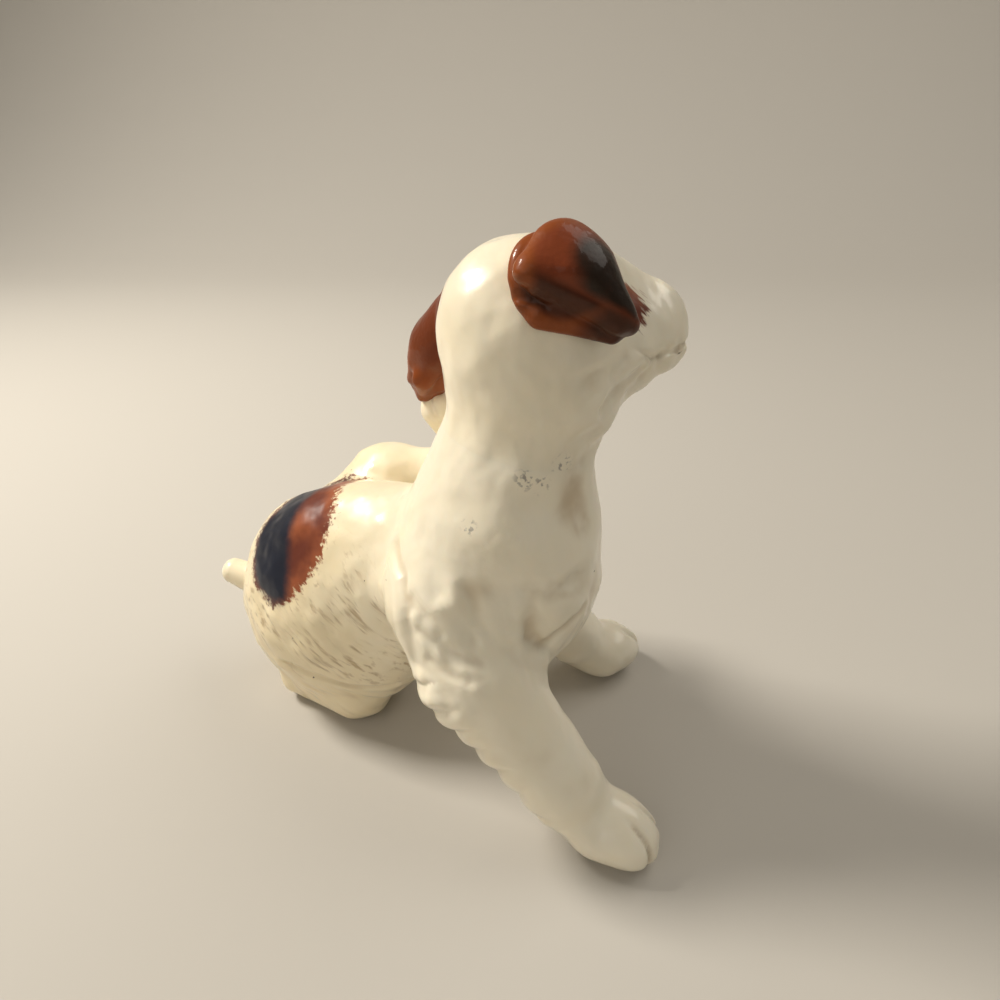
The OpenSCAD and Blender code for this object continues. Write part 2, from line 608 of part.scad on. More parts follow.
// Ears: from the root disc on the skull over the fold to the tip
ear_reach_share = 0.62;
function ear_pages(seam_of_ear, flap, tip) =
    let (way = unit(tip - flap), keel = cross(seam_of_ear[1], way))
    let (root = swing(seam_of_ear[0], seam_of_ear[1], way, ear_reach_share * ear_root_width, flap, 8, keel))
    concat(root, stack(end_of(root), tip, way, 4, keel));

module right_ear() {
    color(brown_glaze)
        solid_piece(function (p) clay_of_right_ear(p), ear_pages(right_ear_seam, right_tip[0], right_tip[1]),
            ear_lines, 4);
}
module left_ear() {
    color(brown_glaze)
        solid_piece(function (p) clay_of_left_ear(p), ear_pages(left_ear_seam, left_ear_place, ear_end),
            ear_lines, 4);
}

body();
head();
right_ear();
left_ear();
right_front_leg();
left_front_leg();
left_hind_leg();
left_hind_paw();
tail();
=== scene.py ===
import math
from itertools import product

import bmesh
import bpy
import numpy as np
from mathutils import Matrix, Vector


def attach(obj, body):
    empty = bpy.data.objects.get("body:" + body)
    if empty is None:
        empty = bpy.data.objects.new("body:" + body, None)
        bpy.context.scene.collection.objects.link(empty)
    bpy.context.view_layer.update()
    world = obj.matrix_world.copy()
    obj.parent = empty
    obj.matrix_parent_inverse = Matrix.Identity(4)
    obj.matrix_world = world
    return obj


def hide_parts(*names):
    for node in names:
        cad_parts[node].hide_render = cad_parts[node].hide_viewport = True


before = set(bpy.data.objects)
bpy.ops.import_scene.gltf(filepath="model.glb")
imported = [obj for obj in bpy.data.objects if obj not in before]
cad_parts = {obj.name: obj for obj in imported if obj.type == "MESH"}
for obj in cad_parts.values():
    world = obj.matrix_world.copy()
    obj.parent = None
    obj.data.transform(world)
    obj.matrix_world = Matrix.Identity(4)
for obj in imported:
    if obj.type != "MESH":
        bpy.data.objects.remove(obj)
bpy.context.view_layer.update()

# Camera. The photo was taken by hand, above and to the right of the figure and about
# 1.2 figure heights away, with a phone's wide lens pitched down at it.
camera_data = bpy.data.cameras.new("camera")
camera_data.sensor_width = 36
camera_data.lens = 26.82
camera_data.clip_start = 0.005
camera = bpy.data.objects.new("camera", camera_data)
camera.location = (0.0580, -0.1631, 0.1770)
camera.rotation_euler = (math.radians(90 - 30.3), 0, math.radians(12))
bpy.context.scene.collection.objects.link(camera)
bpy.context.scene.camera = camera
bpy.context.scene.view_settings.view_transform = "Standard"

# Stage. A pale paper sweep under and behind the figure, lit like a small product studio:
# a small lamp from the upper left, as in the photo, and two wide soft ones.
SWEEP_COLOUR = (0.51, 0.48, 0.43, 1)
profile = [(-1.2, 0.0), (0.55, 0.0)]
profile += [(0.55 + 0.35 * math.sin(a), 0.35 - 0.35 * math.cos(a)) for a in np.radians(np.arange(10, 91, 10))]
profile += [(0.90, 1.9)]
sweep_mesh = bpy.data.meshes.new("sweep")
sweep_mesh.from_pydata([(x, y, z) for y, z in profile for x in (-2.2, 2.2)], [],
    [(2 * i, 2 * i + 1, 2 * i + 3, 2 * i + 2) for i in range(len(profile) - 1)])
sweep_mesh.polygons.foreach_set("use_smooth", [True] * len(sweep_mesh.polygons))
sweep = bpy.data.objects.new("sweep", sweep_mesh)
sweep.rotation_euler = (0, 0, math.radians(12))
bpy.context.scene.collection.objects.link(sweep)
paper = bpy.data.materials.new("paper")
paper.use_nodes = True
paper.node_tree.nodes["Principled BSDF"].inputs["Base Color"].default_value = SWEEP_COLOUR
paper.node_tree.nodes["Principled BSDF"].inputs["Roughness"].default_value = 0.9
paper.node_tree.nodes["Principled BSDF"].inputs["Specular IOR Level"].default_value = 0.1
sweep_mesh.materials.append(paper)


def lamp(name, place, aim, size, power, colour):
    data = bpy.data.lights.new(name, "AREA")
    data.shape = "RECTANGLE"
    data.size, data.size_y = size
    data.energy = power
    data.color = colour
    light = bpy.data.objects.new(name, data)
    light.location = place
    way = np.array(aim) - np.array(place)
    light.rotation_euler = (math.atan2(math.hypot(way[0], way[1]), -way[2]), 0,
        math.atan2(way[1], way[0]) - math.pi / 2)
    bpy.context.scene.collection.objects.link(light)


lamp("key", (-0.54, 0.07, 0.62), (0, 0, 0.08), (0.19, 0.15), 7.0, (1.0, 0.95, 0.87))
lamp("fill", (-0.45, -1.00, 0.60), (0, 0, 0.07), (1.20, 1.20), 3.5, (1.0, 0.94, 0.84))
lamp("back", (0.60, 0.50, 1.05), (0, 0, 0.07), (1.00, 0.80), 5.6, (1.0, 0.95, 0.87))
world = bpy.data.worlds.new("world")
world.use_nodes = True
world.node_tree.nodes["Background"].inputs["Color"].default_value = (1.0, 0.96, 0.89, 1)
world.node_tree.nodes["Background"].inputs["Strength"].default_value = 0.21
bpy.context.scene.world = world

# Trunk clay. The figure was modelled in clay, moulded and slip-cast, so its skin is one
# smooth melt of rounded lumps: rump, loins, chest, haunch and neck. The pieces below are
# cut from it. Places are shares of the 148 mm height, as in the CAD source.
HEIGHT = 0.148
MIDDLE = np.array([0.0678, -0.0655, 0])


def at(x, y, z):
    return (np.array([x, y, z]) + MIDDLE) * HEIGHT


def unit(v):
    return np.asarray(v, float) / np.linalg.norm(v)


def axes(turn, rise, lean):
    t, r, n = math.radians(turn), math.radians(rise), math.radians(lean)
    forward = np.array([math.cos(t) * math.cos(r), math.sin(t) * math.cos(r), math.sin(r)])
    left = np.array([-math.sin(t), math.cos(t), 0])
    up = np.cross(forward, left)
    return np.array([forward, left * math.cos(n) - up * math.sin(n), up * math.cos(n) + left * math.sin(n)])


def egg(middle, radii, set_of_axes=np.eye(3)):
    """The distance from an egg-shaped lump, below zero inside it."""
    middle, radii = np.asarray(middle, float), np.asarray(radii, float)
    measure = set_of_axes / radii[:, None]
    return lambda p: (np.linalg.norm((p - middle) @ measure.T, axis=-1) - 1) * radii.min()


def bar(start, end, start_radius, end_radius):
    """The distance from a tapered bar with round ends."""
    start, axis = np.asarray(start, float), np.asarray(end, float) - start

    def distance(p):
        along = np.clip((p - start) @ axis / (axis @ axis), 0, 1)
        return np.linalg.norm(p - start - along[..., None] * axis, axis=-1) - start_radius \
            - (end_radius - start_radius) * along
    return distance


def melt(a, b, soft):
    return np.minimum(a, b) - np.maximum(soft - np.abs(a - b), 0) ** 2 / (4 * soft)


BODY_SOFT, NECK_SOFT, LIMB_SOFT, JOINT_SOFT, CREASE_SOFT, RIM_SOFT = \
    np.array([0.095, 0.080, 0.060, 0.040, 0.022, 0.010]) * HEIGHT
rump = egg(at(-0.270, 0.135, 0.213), (0.0305, 0.0230, 0.0354))
loins = egg(at(-0.081, 0.074, 0.365), (0.03386, 0.0200, 0.0239), axes(-15, 8, 0))
chest = egg(at(0.108, 0.020, 0.446), (0.0250, 0.0240, 0.0319))
haunch = egg(at(-0.223, 0.047, 0.203), (0.0239, 0.0140, 0.0221))
NECK_FOOT, NECK_TOP = at(0.101, 0.027, 0.541), at(0.139, 0.050, 0.743)
neck = bar(NECK_FOOT, NECK_TOP, 0.01908, 0.0175)


def torso(p):
    f = melt(melt(rump(p), loins(p), BODY_SOFT), chest(p), NECK_SOFT)
    return melt(melt(f, haunch(p), LIMB_SOFT), neck(p), NECK_SOFT)


def ripple(p, lengths, set_of_axes=np.eye(3), seed=0):
    """Smooth noise from -1 to 1 whose waves have these lengths along these axes."""
    q = p @ (set_of_axes / np.asarray(lengths)[:, None]).T
    cell = np.floor(q).astype(np.int64)
    t = q - cell
    t = t * t * (3 - 2 * t)
    total = 0
    for corner in product((0, 1), repeat=3):
        c = cell + corner
        h = (c[..., 0] * 73856093) ^ (c[..., 1] * 19349663) ^ (c[..., 2] * 83492791) ^ (seed * 40503 + 977)
        h = ((h ^ (h >> 13)) * 1274126177) & 0x7FFFFFFF
        share = np.prod(np.where(np.array(corner) == 1, t, 1 - t), axis=-1)
        total = total + share * (((h >> 7) & 0xFFFF) / 32767.5 - 1)
    return total


def along(way):
    """A set of axes whose first one runs along a way."""
    first = unit(way)
    second = unit(np.cross((0, 0, 1), first))
    return np.array([first, second, np.cross(first, second)])


def groove(p, points, width):
    """1 on the line through some places, fading out over a width."""
    near = 9.0
    for a, b in zip(points[:-1], points[1:]):
        near = np.minimum(near, bar(a, b, 0, 0)(p))
    return np.exp(-(near / width) ** 2)


def rise(x, low, high):
    t = np.clip((x - low) / (high - low), 0, 1)
    return t * t * (3 - 2 * t)


def spot(p, middle, radius):
    """1 at a place, fading to 0 at a radius."""
    return 1 - rise(np.linalg.norm(p - np.asarray(middle), axis=-1), 0.25 * radius, radius)


# The modelling of the coat on the trunk, neck and legs: places in millimetres along each
# furrow, with its width and depth
FURROWS = [
    ([(0.8, -18.6, 74.6), (6.1, -28.7, 73.5), (9.0, -33.7, 68.5), (10.0, -35.8, 61.4),
        (11.0, -37.7, 54.8)], 2.0, 0.68),
    ([(-46.0, -9.0, 26.5), (-34.2, -15.9, 24.8), (-26.6, -16.7, 23.1), (-15.3, -15.0, 19.9),
        (-5.7, -11.0, 19.6)], 1.2, 0.68),
    ([(46.8, -11.3, 106.0), (46.3, -9.5, 101.0), (45.2, -12.9, 95.4), (43.6, -16.8, 92.4),
        (41.9, -20.1, 89.4)], 2.6, 0.38),
    ([(22.5, -32.3, 74.9), (29.9, -30.8, 73.8), (36.3, -28.5, 73.7), (42.7, -24.5, 71.8),
        (47.8, -18.2, 72.3)], 2.6, 0.38),
    ([(39.9, -25.6, 54.5), (43.1, -23.2, 58.2), (48.3, -17.1, 61.6)], 1.6, 0.52),
    ([(12.2, -36.7, 63.9), (17.3, -37.9, 61.9), (22.7, -38.9, 59.3), (27.2, -38.1, 58.2)], 1.6, 0.52),
    ([(15.0, -38.8, 57.7), (19.8, -40.8, 55.9), (24.6, -41.2, 55.0)], 1.4, 0.45),
    ([(9.8, -33.8, 70.6), (14.2, -36.1, 67.9), (17.2, -37.1, 64.5)], 1.7, 0.52),
    ([(55.6, 1.0, 116.9), (52.7, -3.8, 115.1), (50.3, -8.4, 113.7), (48.7, -10.4, 111.5)], 1.8, 0.75),
    ([(52.0, -4.6, 121.2), (50.4, -8.3, 118.3)], 1.3, 0.38),
    ([(58.1, 4.3, 118.0), (56.4, 2.9, 114.5)], 1.3, 0.45),
    ([(61.2, 8.3, 119.8), (59.5, 6.3, 117.0)], 1.2, 0.38)]


def within(mask, p, height):
    """A height worked out only where a mask is above zero, and multiplied by it."""
    some = mask > 0
    result = np.zeros(len(p))
    result[some] = mask[some] * height(p[some])
    return result


def furrows(p):
    """Depth of the furrows in metres, with soft lips beside them."""
    total = np.zeros(len(p))
    for points, width, depth in FURROWS:
        line, width = np.array(points) / 1000, width / 1000
        near = np.all((p > line.min(0) - 6 * width) & (p < line.max(0) + 6 * width), axis=1)
        q = p[near]
        total[near] += depth / 1000 * (1.5 * groove(q, line, width) - 0.25 * groove(q, line, 2.4 * width))
    return total


def relief(p):
    """Height of the modelled coat: soft dents all over, lumps and locks at the shoulders and breast,
    less the furrows."""
    near = np.maximum(spot(p, (0.019, -0.0373, 0.060), 0.022), 0.8 * spot(p, (0.041, -0.0253, 0.060), 0.022))
    near = np.maximum(near, 0.7 * spot(p, (0.032, 0.0187, 0.055), 0.026))
    coarse, fine = along((0.3, -0.1, -1)), along((0.5, 0, -1))
    height = within(near, p, lambda q: 0.00105 * ripple(q, (0.0100, 0.0050, 0.0050), coarse, seed=5)
        + 0.00055 * ripple(q, (0.0050, 0.0028, 0.0028), fine, seed=6))
    breast = spot(p, (0.049, -0.0093, 0.078), 0.036)
    height += within(breast, p, lambda q: 0.00085 * ripple(q, (0.009, 0.007, 0.012), seed=7))
    dents = ripple(p, (0.0085,) * 3, seed=32) + 0.4 * ripple(p, (0.0045,) * 3, seed=33)
    return height + 0.00045 * dents - furrows(p)


def clear_of(p, *seams):
    """0 at the seams and 1 away from them, so that a piece's detail ends where it meets the next."""
    share = 1
    for place, way, reach in seams:
        level = (p - place) @ way
        out = np.linalg.norm(p - place - level[:, None] * way, axis=1)
        share = share * np.maximum(rise(np.abs(level), 0.0003, 0.0050), rise(out, reach, 1.25 * reach))
    return share


# The patch on the rump, sprayed blue-black at the back and brushed red-brown in front
PATCH = np.array([-0.0325, -0.0053, 0.0610])
PATCH_SET = axes(-20, 62, 0)


def patch_edge(p):
    """Distance from the edge of the painted patch, and how far it reaches forwards, in mm."""
    q = (p - PATCH) @ PATCH_SET.T
    across = np.abs(q[:, 0] + 0.0020) / 0.0172, np.abs(q[:, 2] - 0.0042) / 0.0130, np.abs(q[:, 1]) / 0.030
    return (sum(a ** 2.6 for a in across) ** (1 / 2.6) - 1) * 14, (q[:, 0] - q[:, 2] + 0.0040) * 707


# Skin. These build a piece's closed mesh from its clay: quads on a grid round the skin,
# moved onto it exactly, parted at its flat slip seams and closed there.
def rough_skin(clay, low, high, cell):
    """Points near the clay's surface inside a box, one to a cell, and the quads that join them."""
    block = 6
    low = np.asarray(low, float)
    blocks = np.ceil((np.asarray(high) - low) / (cell * block)).astype(int)
    corner = np.stack(np.meshgrid(*[np.arange(n + 1) for n in blocks], indexing="ij"), -1)
    far = clay(low + corner * (block * cell))
    near = np.zeros(blocks, bool)
    for step in product((0, 1), repeat=3):
        near |= np.abs(far[tuple(slice(s, n + s) for s, n in zip(step, blocks))]) < 1.8 * block * cell
    value = np.sign(far[:-1, :-1, :-1]).astype(np.float32)
    for axis in range(3):
        value = np.repeat(value, block, axis)
    inner = np.stack(np.meshgrid(*[np.arange(block)] * 3, indexing="ij"), -1).reshape(-1, 3)
    first = np.argwhere(near) * block
    for some in np.array_split(first, max(1, len(first) // 1500)):
        place = (some[:, None] + inner).reshape(-1, 3)
        value[tuple(place.T)] = clay(low + place * cell)
    inside = value < 0
    cells = np.array(value.shape) - 1
    count = sum(inside[tuple(slice(s, n + s) for s, n in zip(step, cells))].astype(np.int8)
        for step in product((0, 1), repeat=3))
    mixed = (count > 0) & (count < 8)
    number = np.full(mixed.shape, -1)
    number[mixed] = np.arange(mixed.sum())
    place = np.argwhere(mixed)
    total, crossings = np.zeros((len(place), 3)), np.zeros(len(place))
    for a in product((0, 1), repeat=3):
        for axis in range(3):
            if a[axis]:
                continue
            b = np.array(a)
            b[axis] = 1
            va, vb = value[tuple((place + a).T)], value[tuple((place + b).T)]
            cross = (va < 0) != (vb < 0)
            share = np.where(cross, va / np.where(cross, va - vb, 1), 0)
            total += cross[:, None] * (np.array(a) + (b - a) * share[:, None])
            crossings += cross
    points = low + (place + total / crossings[:, None]) * cell
    quads = []
    for axis in range(3):
        u, v = np.eye(3, dtype=int)[(axis + 1) % 3], np.eye(3, dtype=int)[(axis + 2) % 3]
        lower = inside[tuple(slice(0, -1) if k == axis else slice(None) for k in range(3))]
        upper = inside[tuple(slice(1, None) if k == axis else slice(None) for k in range(3))]
        for outward in (True, False):
            edge = np.argwhere(lower & ~upper if outward else ~lower & upper)
            ok = np.all((edge - u - v >= 0) & (edge < cells), axis=1)
            edge = edge[ok]
            quad = np.stack([number[tuple(c.T)] for c in (edge, edge - u, edge - u - v, edge - v)], 1)
            quads.append(quad if outward else quad[:, ::-1])
    return points, np.concatenate(quads)


def slope(clay, points, step=4e-5):
    """How fast the distance from the clay grows along X, Y and Z."""
    grow = [clay(points + step * e) - clay(points - step * e) for e in np.eye(3)]
    return np.stack(grow, -1) / (2 * step)


def settle(points, clay, rounds, most):
    """Moves points onto the clay's surface, by most metres at a time."""
    for _ in range(rounds):
        g = slope(clay, points)
        move = clay(points)[:, None] * g / np.maximum((g * g).sum(1, keepdims=True), 0.05)
        reach = np.linalg.norm(move, axis=1, keepdims=True)
        points = points - move * np.minimum(1, most / np.maximum(reach, 1e-9))
    return points


# A seam is a place, the way across it and its reach. The table's plane counts as one, since the
# seat, the folded leg and the paws are ground flat on it.
TABLE = (np.zeros(3), np.array([0, 0, 1.0]), 1.0)


def cast_piece(name, clay, form, low, high, cell, seams, seed, coat, material):
    """A piece as a mesh object: clay gives its rough skin, form its exact one with detail,
    seams its flat ends, seed a place on it, and coat the painting attributes of its points."""
    points, quads = rough_skin(clay, low, high, cell)
    points = settle(settle(points, clay, 2, 0.0006), form, 1, 0.0016)
    mesh = bpy.data.meshes.new(name)
    mesh.from_pydata(points.tolist(), [], quads.tolist())
    bm = bmesh.new()
    bm.from_mesh(mesh)
    walls = set()
    for place, way, reach in seams:
        bm.verts.ensure_lookup_table()
        spots = np.array([v.co for v in bm.verts])
        level = (spots - place) @ way
        out = np.linalg.norm(spots - place - level[:, None] * way, axis=1)
        near = (np.abs(level) < 3 * cell) & (out < reach)
        bm.verts.index_update()
        faces = [f for f in bm.faces if all(near[v.index] for v in f.verts)]
        edges = list({e for f in faces for e in f.edges})
        verts = list({v for f in faces for v in f.verts})
        cut = bmesh.ops.bisect_plane(bm, geom=verts + edges + faces, dist=1e-7,
            plane_co=place, plane_no=way)
        walls |= {e for e in cut["geom_cut"] if isinstance(e, bmesh.types.BMEdge)}
    start = min(bm.faces, key=lambda f: (f.calc_center_median() - Vector(seed)).length_squared)
    for f in bm.faces:
        f.tag = False
    start.tag = True
    todo = [start]
    while todo:
        for e in todo.pop().edges:
            if e not in walls:
                for f in e.link_faces:
                    if not f.tag:
                        f.tag = True
                        todo.append(f)
    bmesh.ops.delete(bm, geom=[f for f in bm.faces if not f.tag], context="FACES")
    skin = set(bm.faces)
    for place, way, _ in seams:
        rim = [e for e in bm.edges if e.is_boundary
            and all(abs((np.array(v.co) - place) @ way) < 2e-6 for v in e.verts)]
        if rim:
            bmesh.ops.triangle_fill(bm, use_beauty=True, use_dissolve=False, edges=rim)
    bmesh.ops.recalc_face_normals(bm, faces=bm.faces)
    for f in bm.faces:
        f.smooth = f in skin
    open_edges = sum(e.is_boundary for e in bm.edges)
    bm.to_mesh(mesh)
    bm.free()
    places = np.empty(len(mesh.vertices) * 3)
    mesh.vertices.foreach_get("co", places)
    places = places.reshape(-1, 3)
    corners = np.empty(len(mesh.loops), int)
    mesh.loops.foreach_get("vertex_index", corners)
    starts, sizes = np.empty(len(mesh.polygons), int), np.empty(len(mesh.polygons), int)
    smooth = np.empty(len(mesh.polygons), bool)
    flat = np.empty(len(mesh.polygons) * 3)
    mesh.polygons.foreach_get("loop_start", starts)
    mesh.polygons.foreach_get("loop_total", sizes)
    mesh.polygons.foreach_get("use_smooth", smooth)
    mesh.polygons.foreach_get("normal", flat)
    of_face = np.repeat(np.arange(len(sizes)), sizes)
    round_normals = slope(form, places)
    round_normals /= np.maximum(np.linalg.norm(round_normals, axis=1, keepdims=True), 1e-9)
    normals = np.where(smooth[of_face][:, None], round_normals[corners], flat.reshape(-1, 3)[of_face])
    for key, values in coat(places).items():
        layer = mesh.attributes.new(key, "FLOAT", "POINT")
        layer.data.foreach_set("value", np.asarray(values, np.float32))
    mesh.polygons.foreach_set("use_smooth", [True] * len(mesh.polygons))
    mesh.normals_split_custom_set(normals)
    mesh.materials.append(material)
    piece = bpy.data.objects.new(name, mesh)
    bpy.context.scene.collection.objects.link(piece)
    print(f"{name}: {len(mesh.polygons)} faces, {open_edges} open edges")
    return piece


# White glaze. Slip-cast porcelain under a thick clear glaze, creamier on the rump and
# cooler on the legs, with painted patches under the glaze. The patches' edges are
# feathered by strokes that run along the coat. Its furrows and folds are darkened towards
# brown as painted shade.
def link(tree, start, end):
    tree.links.new(start, end)


def node(tree, kind, **values):
    made = tree.nodes.new(kind)
    for key, value in values.items():
        setattr(made, key, value)
    return made


def attribute(tree, name):
    return node(tree, "ShaderNodeAttribute", attribute_name=name).outputs["Fac"]


def math_node(tree, operation, a, b=None, c=None, clamp=False):
    made = node(tree, "ShaderNodeMath", operation=operation, use_clamp=clamp)
    for socket, value in zip(made.inputs, (a, b, c)):
        if value is None:
            continue
        if isinstance(value, (int, float)):
            socket.default_value = value
        else:
            link(tree, value, socket)
    return made.outputs[0]


def noise(tree, lengths, turn=(0, 0, 0), detail=2.0, roughness=0.5):
    """Noise from 0 to 1 with waves of these lengths in metres along the turned axes."""
    place = node(tree, "ShaderNodeNewGeometry").outputs["Position"]
    mapping = node(tree, "ShaderNodeMapping", vector_type="TEXTURE")
    mapping.inputs["Rotation"].default_value = [math.radians(a) for a in turn]
    mapping.inputs["Scale"].default_value = lengths
    link(tree, place, mapping.inputs["Vector"])
    made = node(tree, "ShaderNodeTexNoise")
    made.inputs["Scale"].default_value = 1
    made.inputs["Detail"].default_value = detail
    made.inputs["Roughness"].default_value = roughness
    link(tree, mapping.outputs["Vector"], made.inputs["Vector"])
    return made.outputs["Fac"]


def ramp(tree, value, low, high):
    """0 below low and 1 above high, with a soft step between them. A fade is the other way round."""
    made = node(tree, "ShaderNodeMapRange", interpolation_type="SMOOTHSTEP")
    made.inputs["From Min"].default_value = low
    made.inputs["From Max"].default_value = high
    link(tree, value, made.inputs["Value"])
    return made.outputs["Result"]


def fade(tree, value, low, high):
    return math_node(tree, "SUBTRACT", 1.0, ramp(tree, value, low, high))


def blend(tree, share, a, b):
    """Colour a where the share is 0 and colour b where it is 1."""
    made = node(tree, "ShaderNodeMix", data_type="RGBA")
    link(tree, share, made.inputs[0])
    for socket, value in ((made.inputs[6], a), (made.inputs[7], b)):
        if isinstance(value, tuple):
            socket.default_value = value
        else:
            link(tree, value, socket)
    return made.outputs[2]


def bump(tree, shader, layers):
    """Bumps the shader and its clear coat by layers of (height, depth in metres)."""
    last = None
    for height, depth in layers:
        made = node(tree, "ShaderNodeBump")
        made.inputs["Distance"].default_value = depth
        made.inputs["Strength"].default_value = 1
        link(tree, height, made.inputs["Height"])
        if last:
            link(tree, last, made.inputs["Normal"])
        last = made.outputs["Normal"]
    link(tree, last, shader.inputs["Normal"])
    link(tree, last, shader.inputs["Coat Normal"])


WHITE, CREAM = (0.85, 0.79, 0.645, 1), (0.85, 0.72, 0.47, 1)
# The first brown below is painted shade for the furrows and folds of the coat, and also the colour of the
# brush strokes on the haunch.
SHADE_AND_STROKE_BROWN, PATCH_RED, PATCH_DARK = (0.42, 0.29, 0.15, 1), (0.29, 0.080, 0.030, 1), (0.130, 0.029, 0.014, 1)
PATCH_BLUE, PAINT_BLACK, SOOT = (0.012, 0.014, 0.024, 1), (0.012, 0.008, 0.007, 1), (0.36, 0.33, 0.28, 1)

white_glaze = bpy.data.materials.new("white_glaze")
white_glaze.use_nodes = True
tree = white_glaze.node_tree
shader = tree.nodes["Principled BSDF"]
mottle = noise(tree, (0.011, 0.011, 0.011), detail=3)
warmth = math_node(tree, "ADD", attribute(tree, "warmth"),
    math_node(tree, "MULTIPLY_ADD", mottle, 0.5, -0.25), clamp=True)
colour = blend(tree, warmth, WHITE, CREAM)
# Painted shade: the glaze darkens towards brown in the furrows, clefts and folds of the coat, more where they
# are deeper.
hollow = math_node(tree, "MULTIPLY", attribute(tree, "hollow"), ramp(tree, mottle, 0.3, 0.65))
colour = blend(tree, math_node(tree, "MULTIPLY", hollow, 0.60), colour, SHADE_AND_STROKE_BROWN)
# Short dark strokes of the brush and the graver, forwards and down over the haunch
strands = noise(tree, (0.0090, 0.0015, 0.0015), turn=(0, 42, -6), detail=2.0, roughness=0.55)
strands = math_node(tree, "MULTIPLY", attribute(tree, "hair"), ramp(tree, strands, 0.50, 0.72))
clumps = noise(tree, (0.009, 0.009, 0.009), detail=1)
strands = math_node(tree, "MULTIPLY", strands, ramp(tree, clumps, 0.34, 0.56))
colour = blend(tree, math_node(tree, "MULTIPLY", strands, 0.75), colour, SHADE_AND_STROKE_BROWN)
# Small grey marks in the glaze of the neck
soot = ramp(tree, noise(tree, (0.0011, 0.0011, 0.0011), detail=2), 0.52, 0.66)
colour = blend(tree, math_node(tree, "MULTIPLY", attribute(tree, "soot"), soot), colour, SOOT)
# The strokes that feather the patches run forwards and down along the flank
strokes = noise(tree, (0.0085, 0.0013, 0.0013), turn=(0, 32, 6), detail=2, roughness=0.5)
fine = noise(tree, (0.0045, 0.0005, 0.0005), turn=(0, 32, 6), detail=2)
feather = math_node(tree, "ADD", math_node(tree, "MULTIPLY_ADD", strokes, 7.0, -3.5),
    math_node(tree, "MULTIPLY_ADD", fine, 2.6, -1.3))
brown_edge = math_node(tree, "ADD", attribute(tree, "brown"), feather)
red = blend(tree, ramp(tree, mottle, 0.35, 0.65), PATCH_DARK, PATCH_RED)
painted = fade(tree, brown_edge, -1.2, 0.6)
colour = blend(tree, painted, colour, red)
link(tree, math_node(tree, "MULTIPLY_ADD", painted, -0.25, 0.45), shader.inputs["Coat Weight"])
link(tree, math_node(tree, "MULTIPLY_ADD", painted, -0.25, 0.50), shader.inputs["Specular IOR Level"])
sprayed = math_node(tree, "ADD", attribute(tree, "brown"), math_node(tree, "MULTIPLY", feather, 0.25))
sprayed = fade(tree, sprayed, -2.6, 1.4)
black_edge = math_node(tree, "ADD", attribute(tree, "black"), math_node(tree, "MULTIPLY", feather, 0.20))
black = math_node(tree, "MULTIPLY", sprayed, fade(tree, black_edge, -2.2, 2.6))
colour = blend(tree, black, colour, PATCH_BLUE)
colour = blend(tree, fade(tree, attribute(tree, "paint"), -0.15, 0.15), colour, PAINT_BLACK)
link(tree, colour, shader.inputs["Base Color"])
shader.inputs["Roughness"].default_value = 0.38
shader.inputs["IOR"].default_value = 1.50
shader.inputs["Subsurface Weight"].default_value = 0.12
shader.inputs["Subsurface Radius"].default_value = (0.0022, 0.0014, 0.0008)
shader.inputs["Subsurface Scale"].default_value = 1.0
shader.inputs["Coat Roughness"].default_value = 0.08
bump(tree, shader, [(noise(tree, (0.0060, 0.0060, 0.0075), detail=1), 0.00060),
    (noise(tree, (0.0016, 0.0016, 0.0016), detail=1), 0.00002),
    (math_node(tree, "SUBTRACT", 1.0, strands), 0.00015)])


def plain_coat(p):
    """Painting attributes of white skin: shares, and signed distances from the painted areas in mm."""
    far = np.full(len(p), 9.0)
    warm = 0.28 + 0.72 * rise(-p[:, 0], -0.015, 0.035) - 0.15 * rise(p[:, 0], 0.02, 0.06)
    none = np.zeros(len(p))
    return {"warmth": warm, "hollow": none, "hair": none, "soot": none,
        "brown": far, "black": far, "paint": far}


# Tail. A short docked tail of solid clay, moulded on its own. It is stuck on the rump by a slip
# seam before firing and glazed with it.
TAIL_SEAM = (at(-0.467, 0.161, 0.206), unit((-0.97, 0.23, 0.01)), 0.016)
dock = bar(at(-0.432, 0.162, 0.194), at(-0.534, 0.162, 0.225), 0.0060, 0.0040)


def tail_clay(p):
    return melt(torso(p), dock(p), CREASE_SOFT)


def tail_form(p):
    return tail_clay(p) - relief(p)


def tail_coat(p):
    coat = plain_coat(p)
    coat["warmth"] = np.full(len(p), 0.6)
    return coat


tail = cast_piece("tail_cast", tail_clay, tail_form,
    low=at(-0.58, 0.05, 0.10), high=at(-0.43, 0.27, 0.34), cell=0.00035, seams=[TAIL_SEAM],
    seed=at(-0.565, 0.162, 0.235), coat=tail_coat, material=white_glaze)
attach(tail, "root")
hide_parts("tail")

# Right front leg. It stands forward and outward towards the camera. The back of the leg has a
# scalloped edge of modelled fur, and two clefts part the toes.
RIGHT_LEG_SEAM = (at(0.076, -0.126, 0.327), unit((0.30, -0.85, -0.43)), 0.0288)
RIGHT_ELBOW, RIGHT_WRIST = at(0.088, -0.135, 0.318), at(0.250, -0.176, 0.135)
RIGHT_PAW = at(0.334, -0.184, 0.057)
right_shoulder = bar(at(0.034, -0.081, 0.419), RIGHT_ELBOW, 0.0156, 0.01248)
right_shin = bar(RIGHT_ELBOW, RIGHT_WRIST, 0.01248, 0.01056)
RIGHT_PAW_SET = axes(-12, -12, 0)
RIGHT_CLEFTS = (0.0045, -0.0035)
right_foot = egg(RIGHT_PAW, (0.0140, 0.00968, 0.00946), RIGHT_PAW_SET)


def right_leg(p):
    return melt(melt(right_shoulder(p), right_shin(p), JOINT_SOFT), right_foot(p), JOINT_SOFT)


def right_leg_clay(p):
    return melt(torso(p), right_leg(p), LIMB_SOFT)


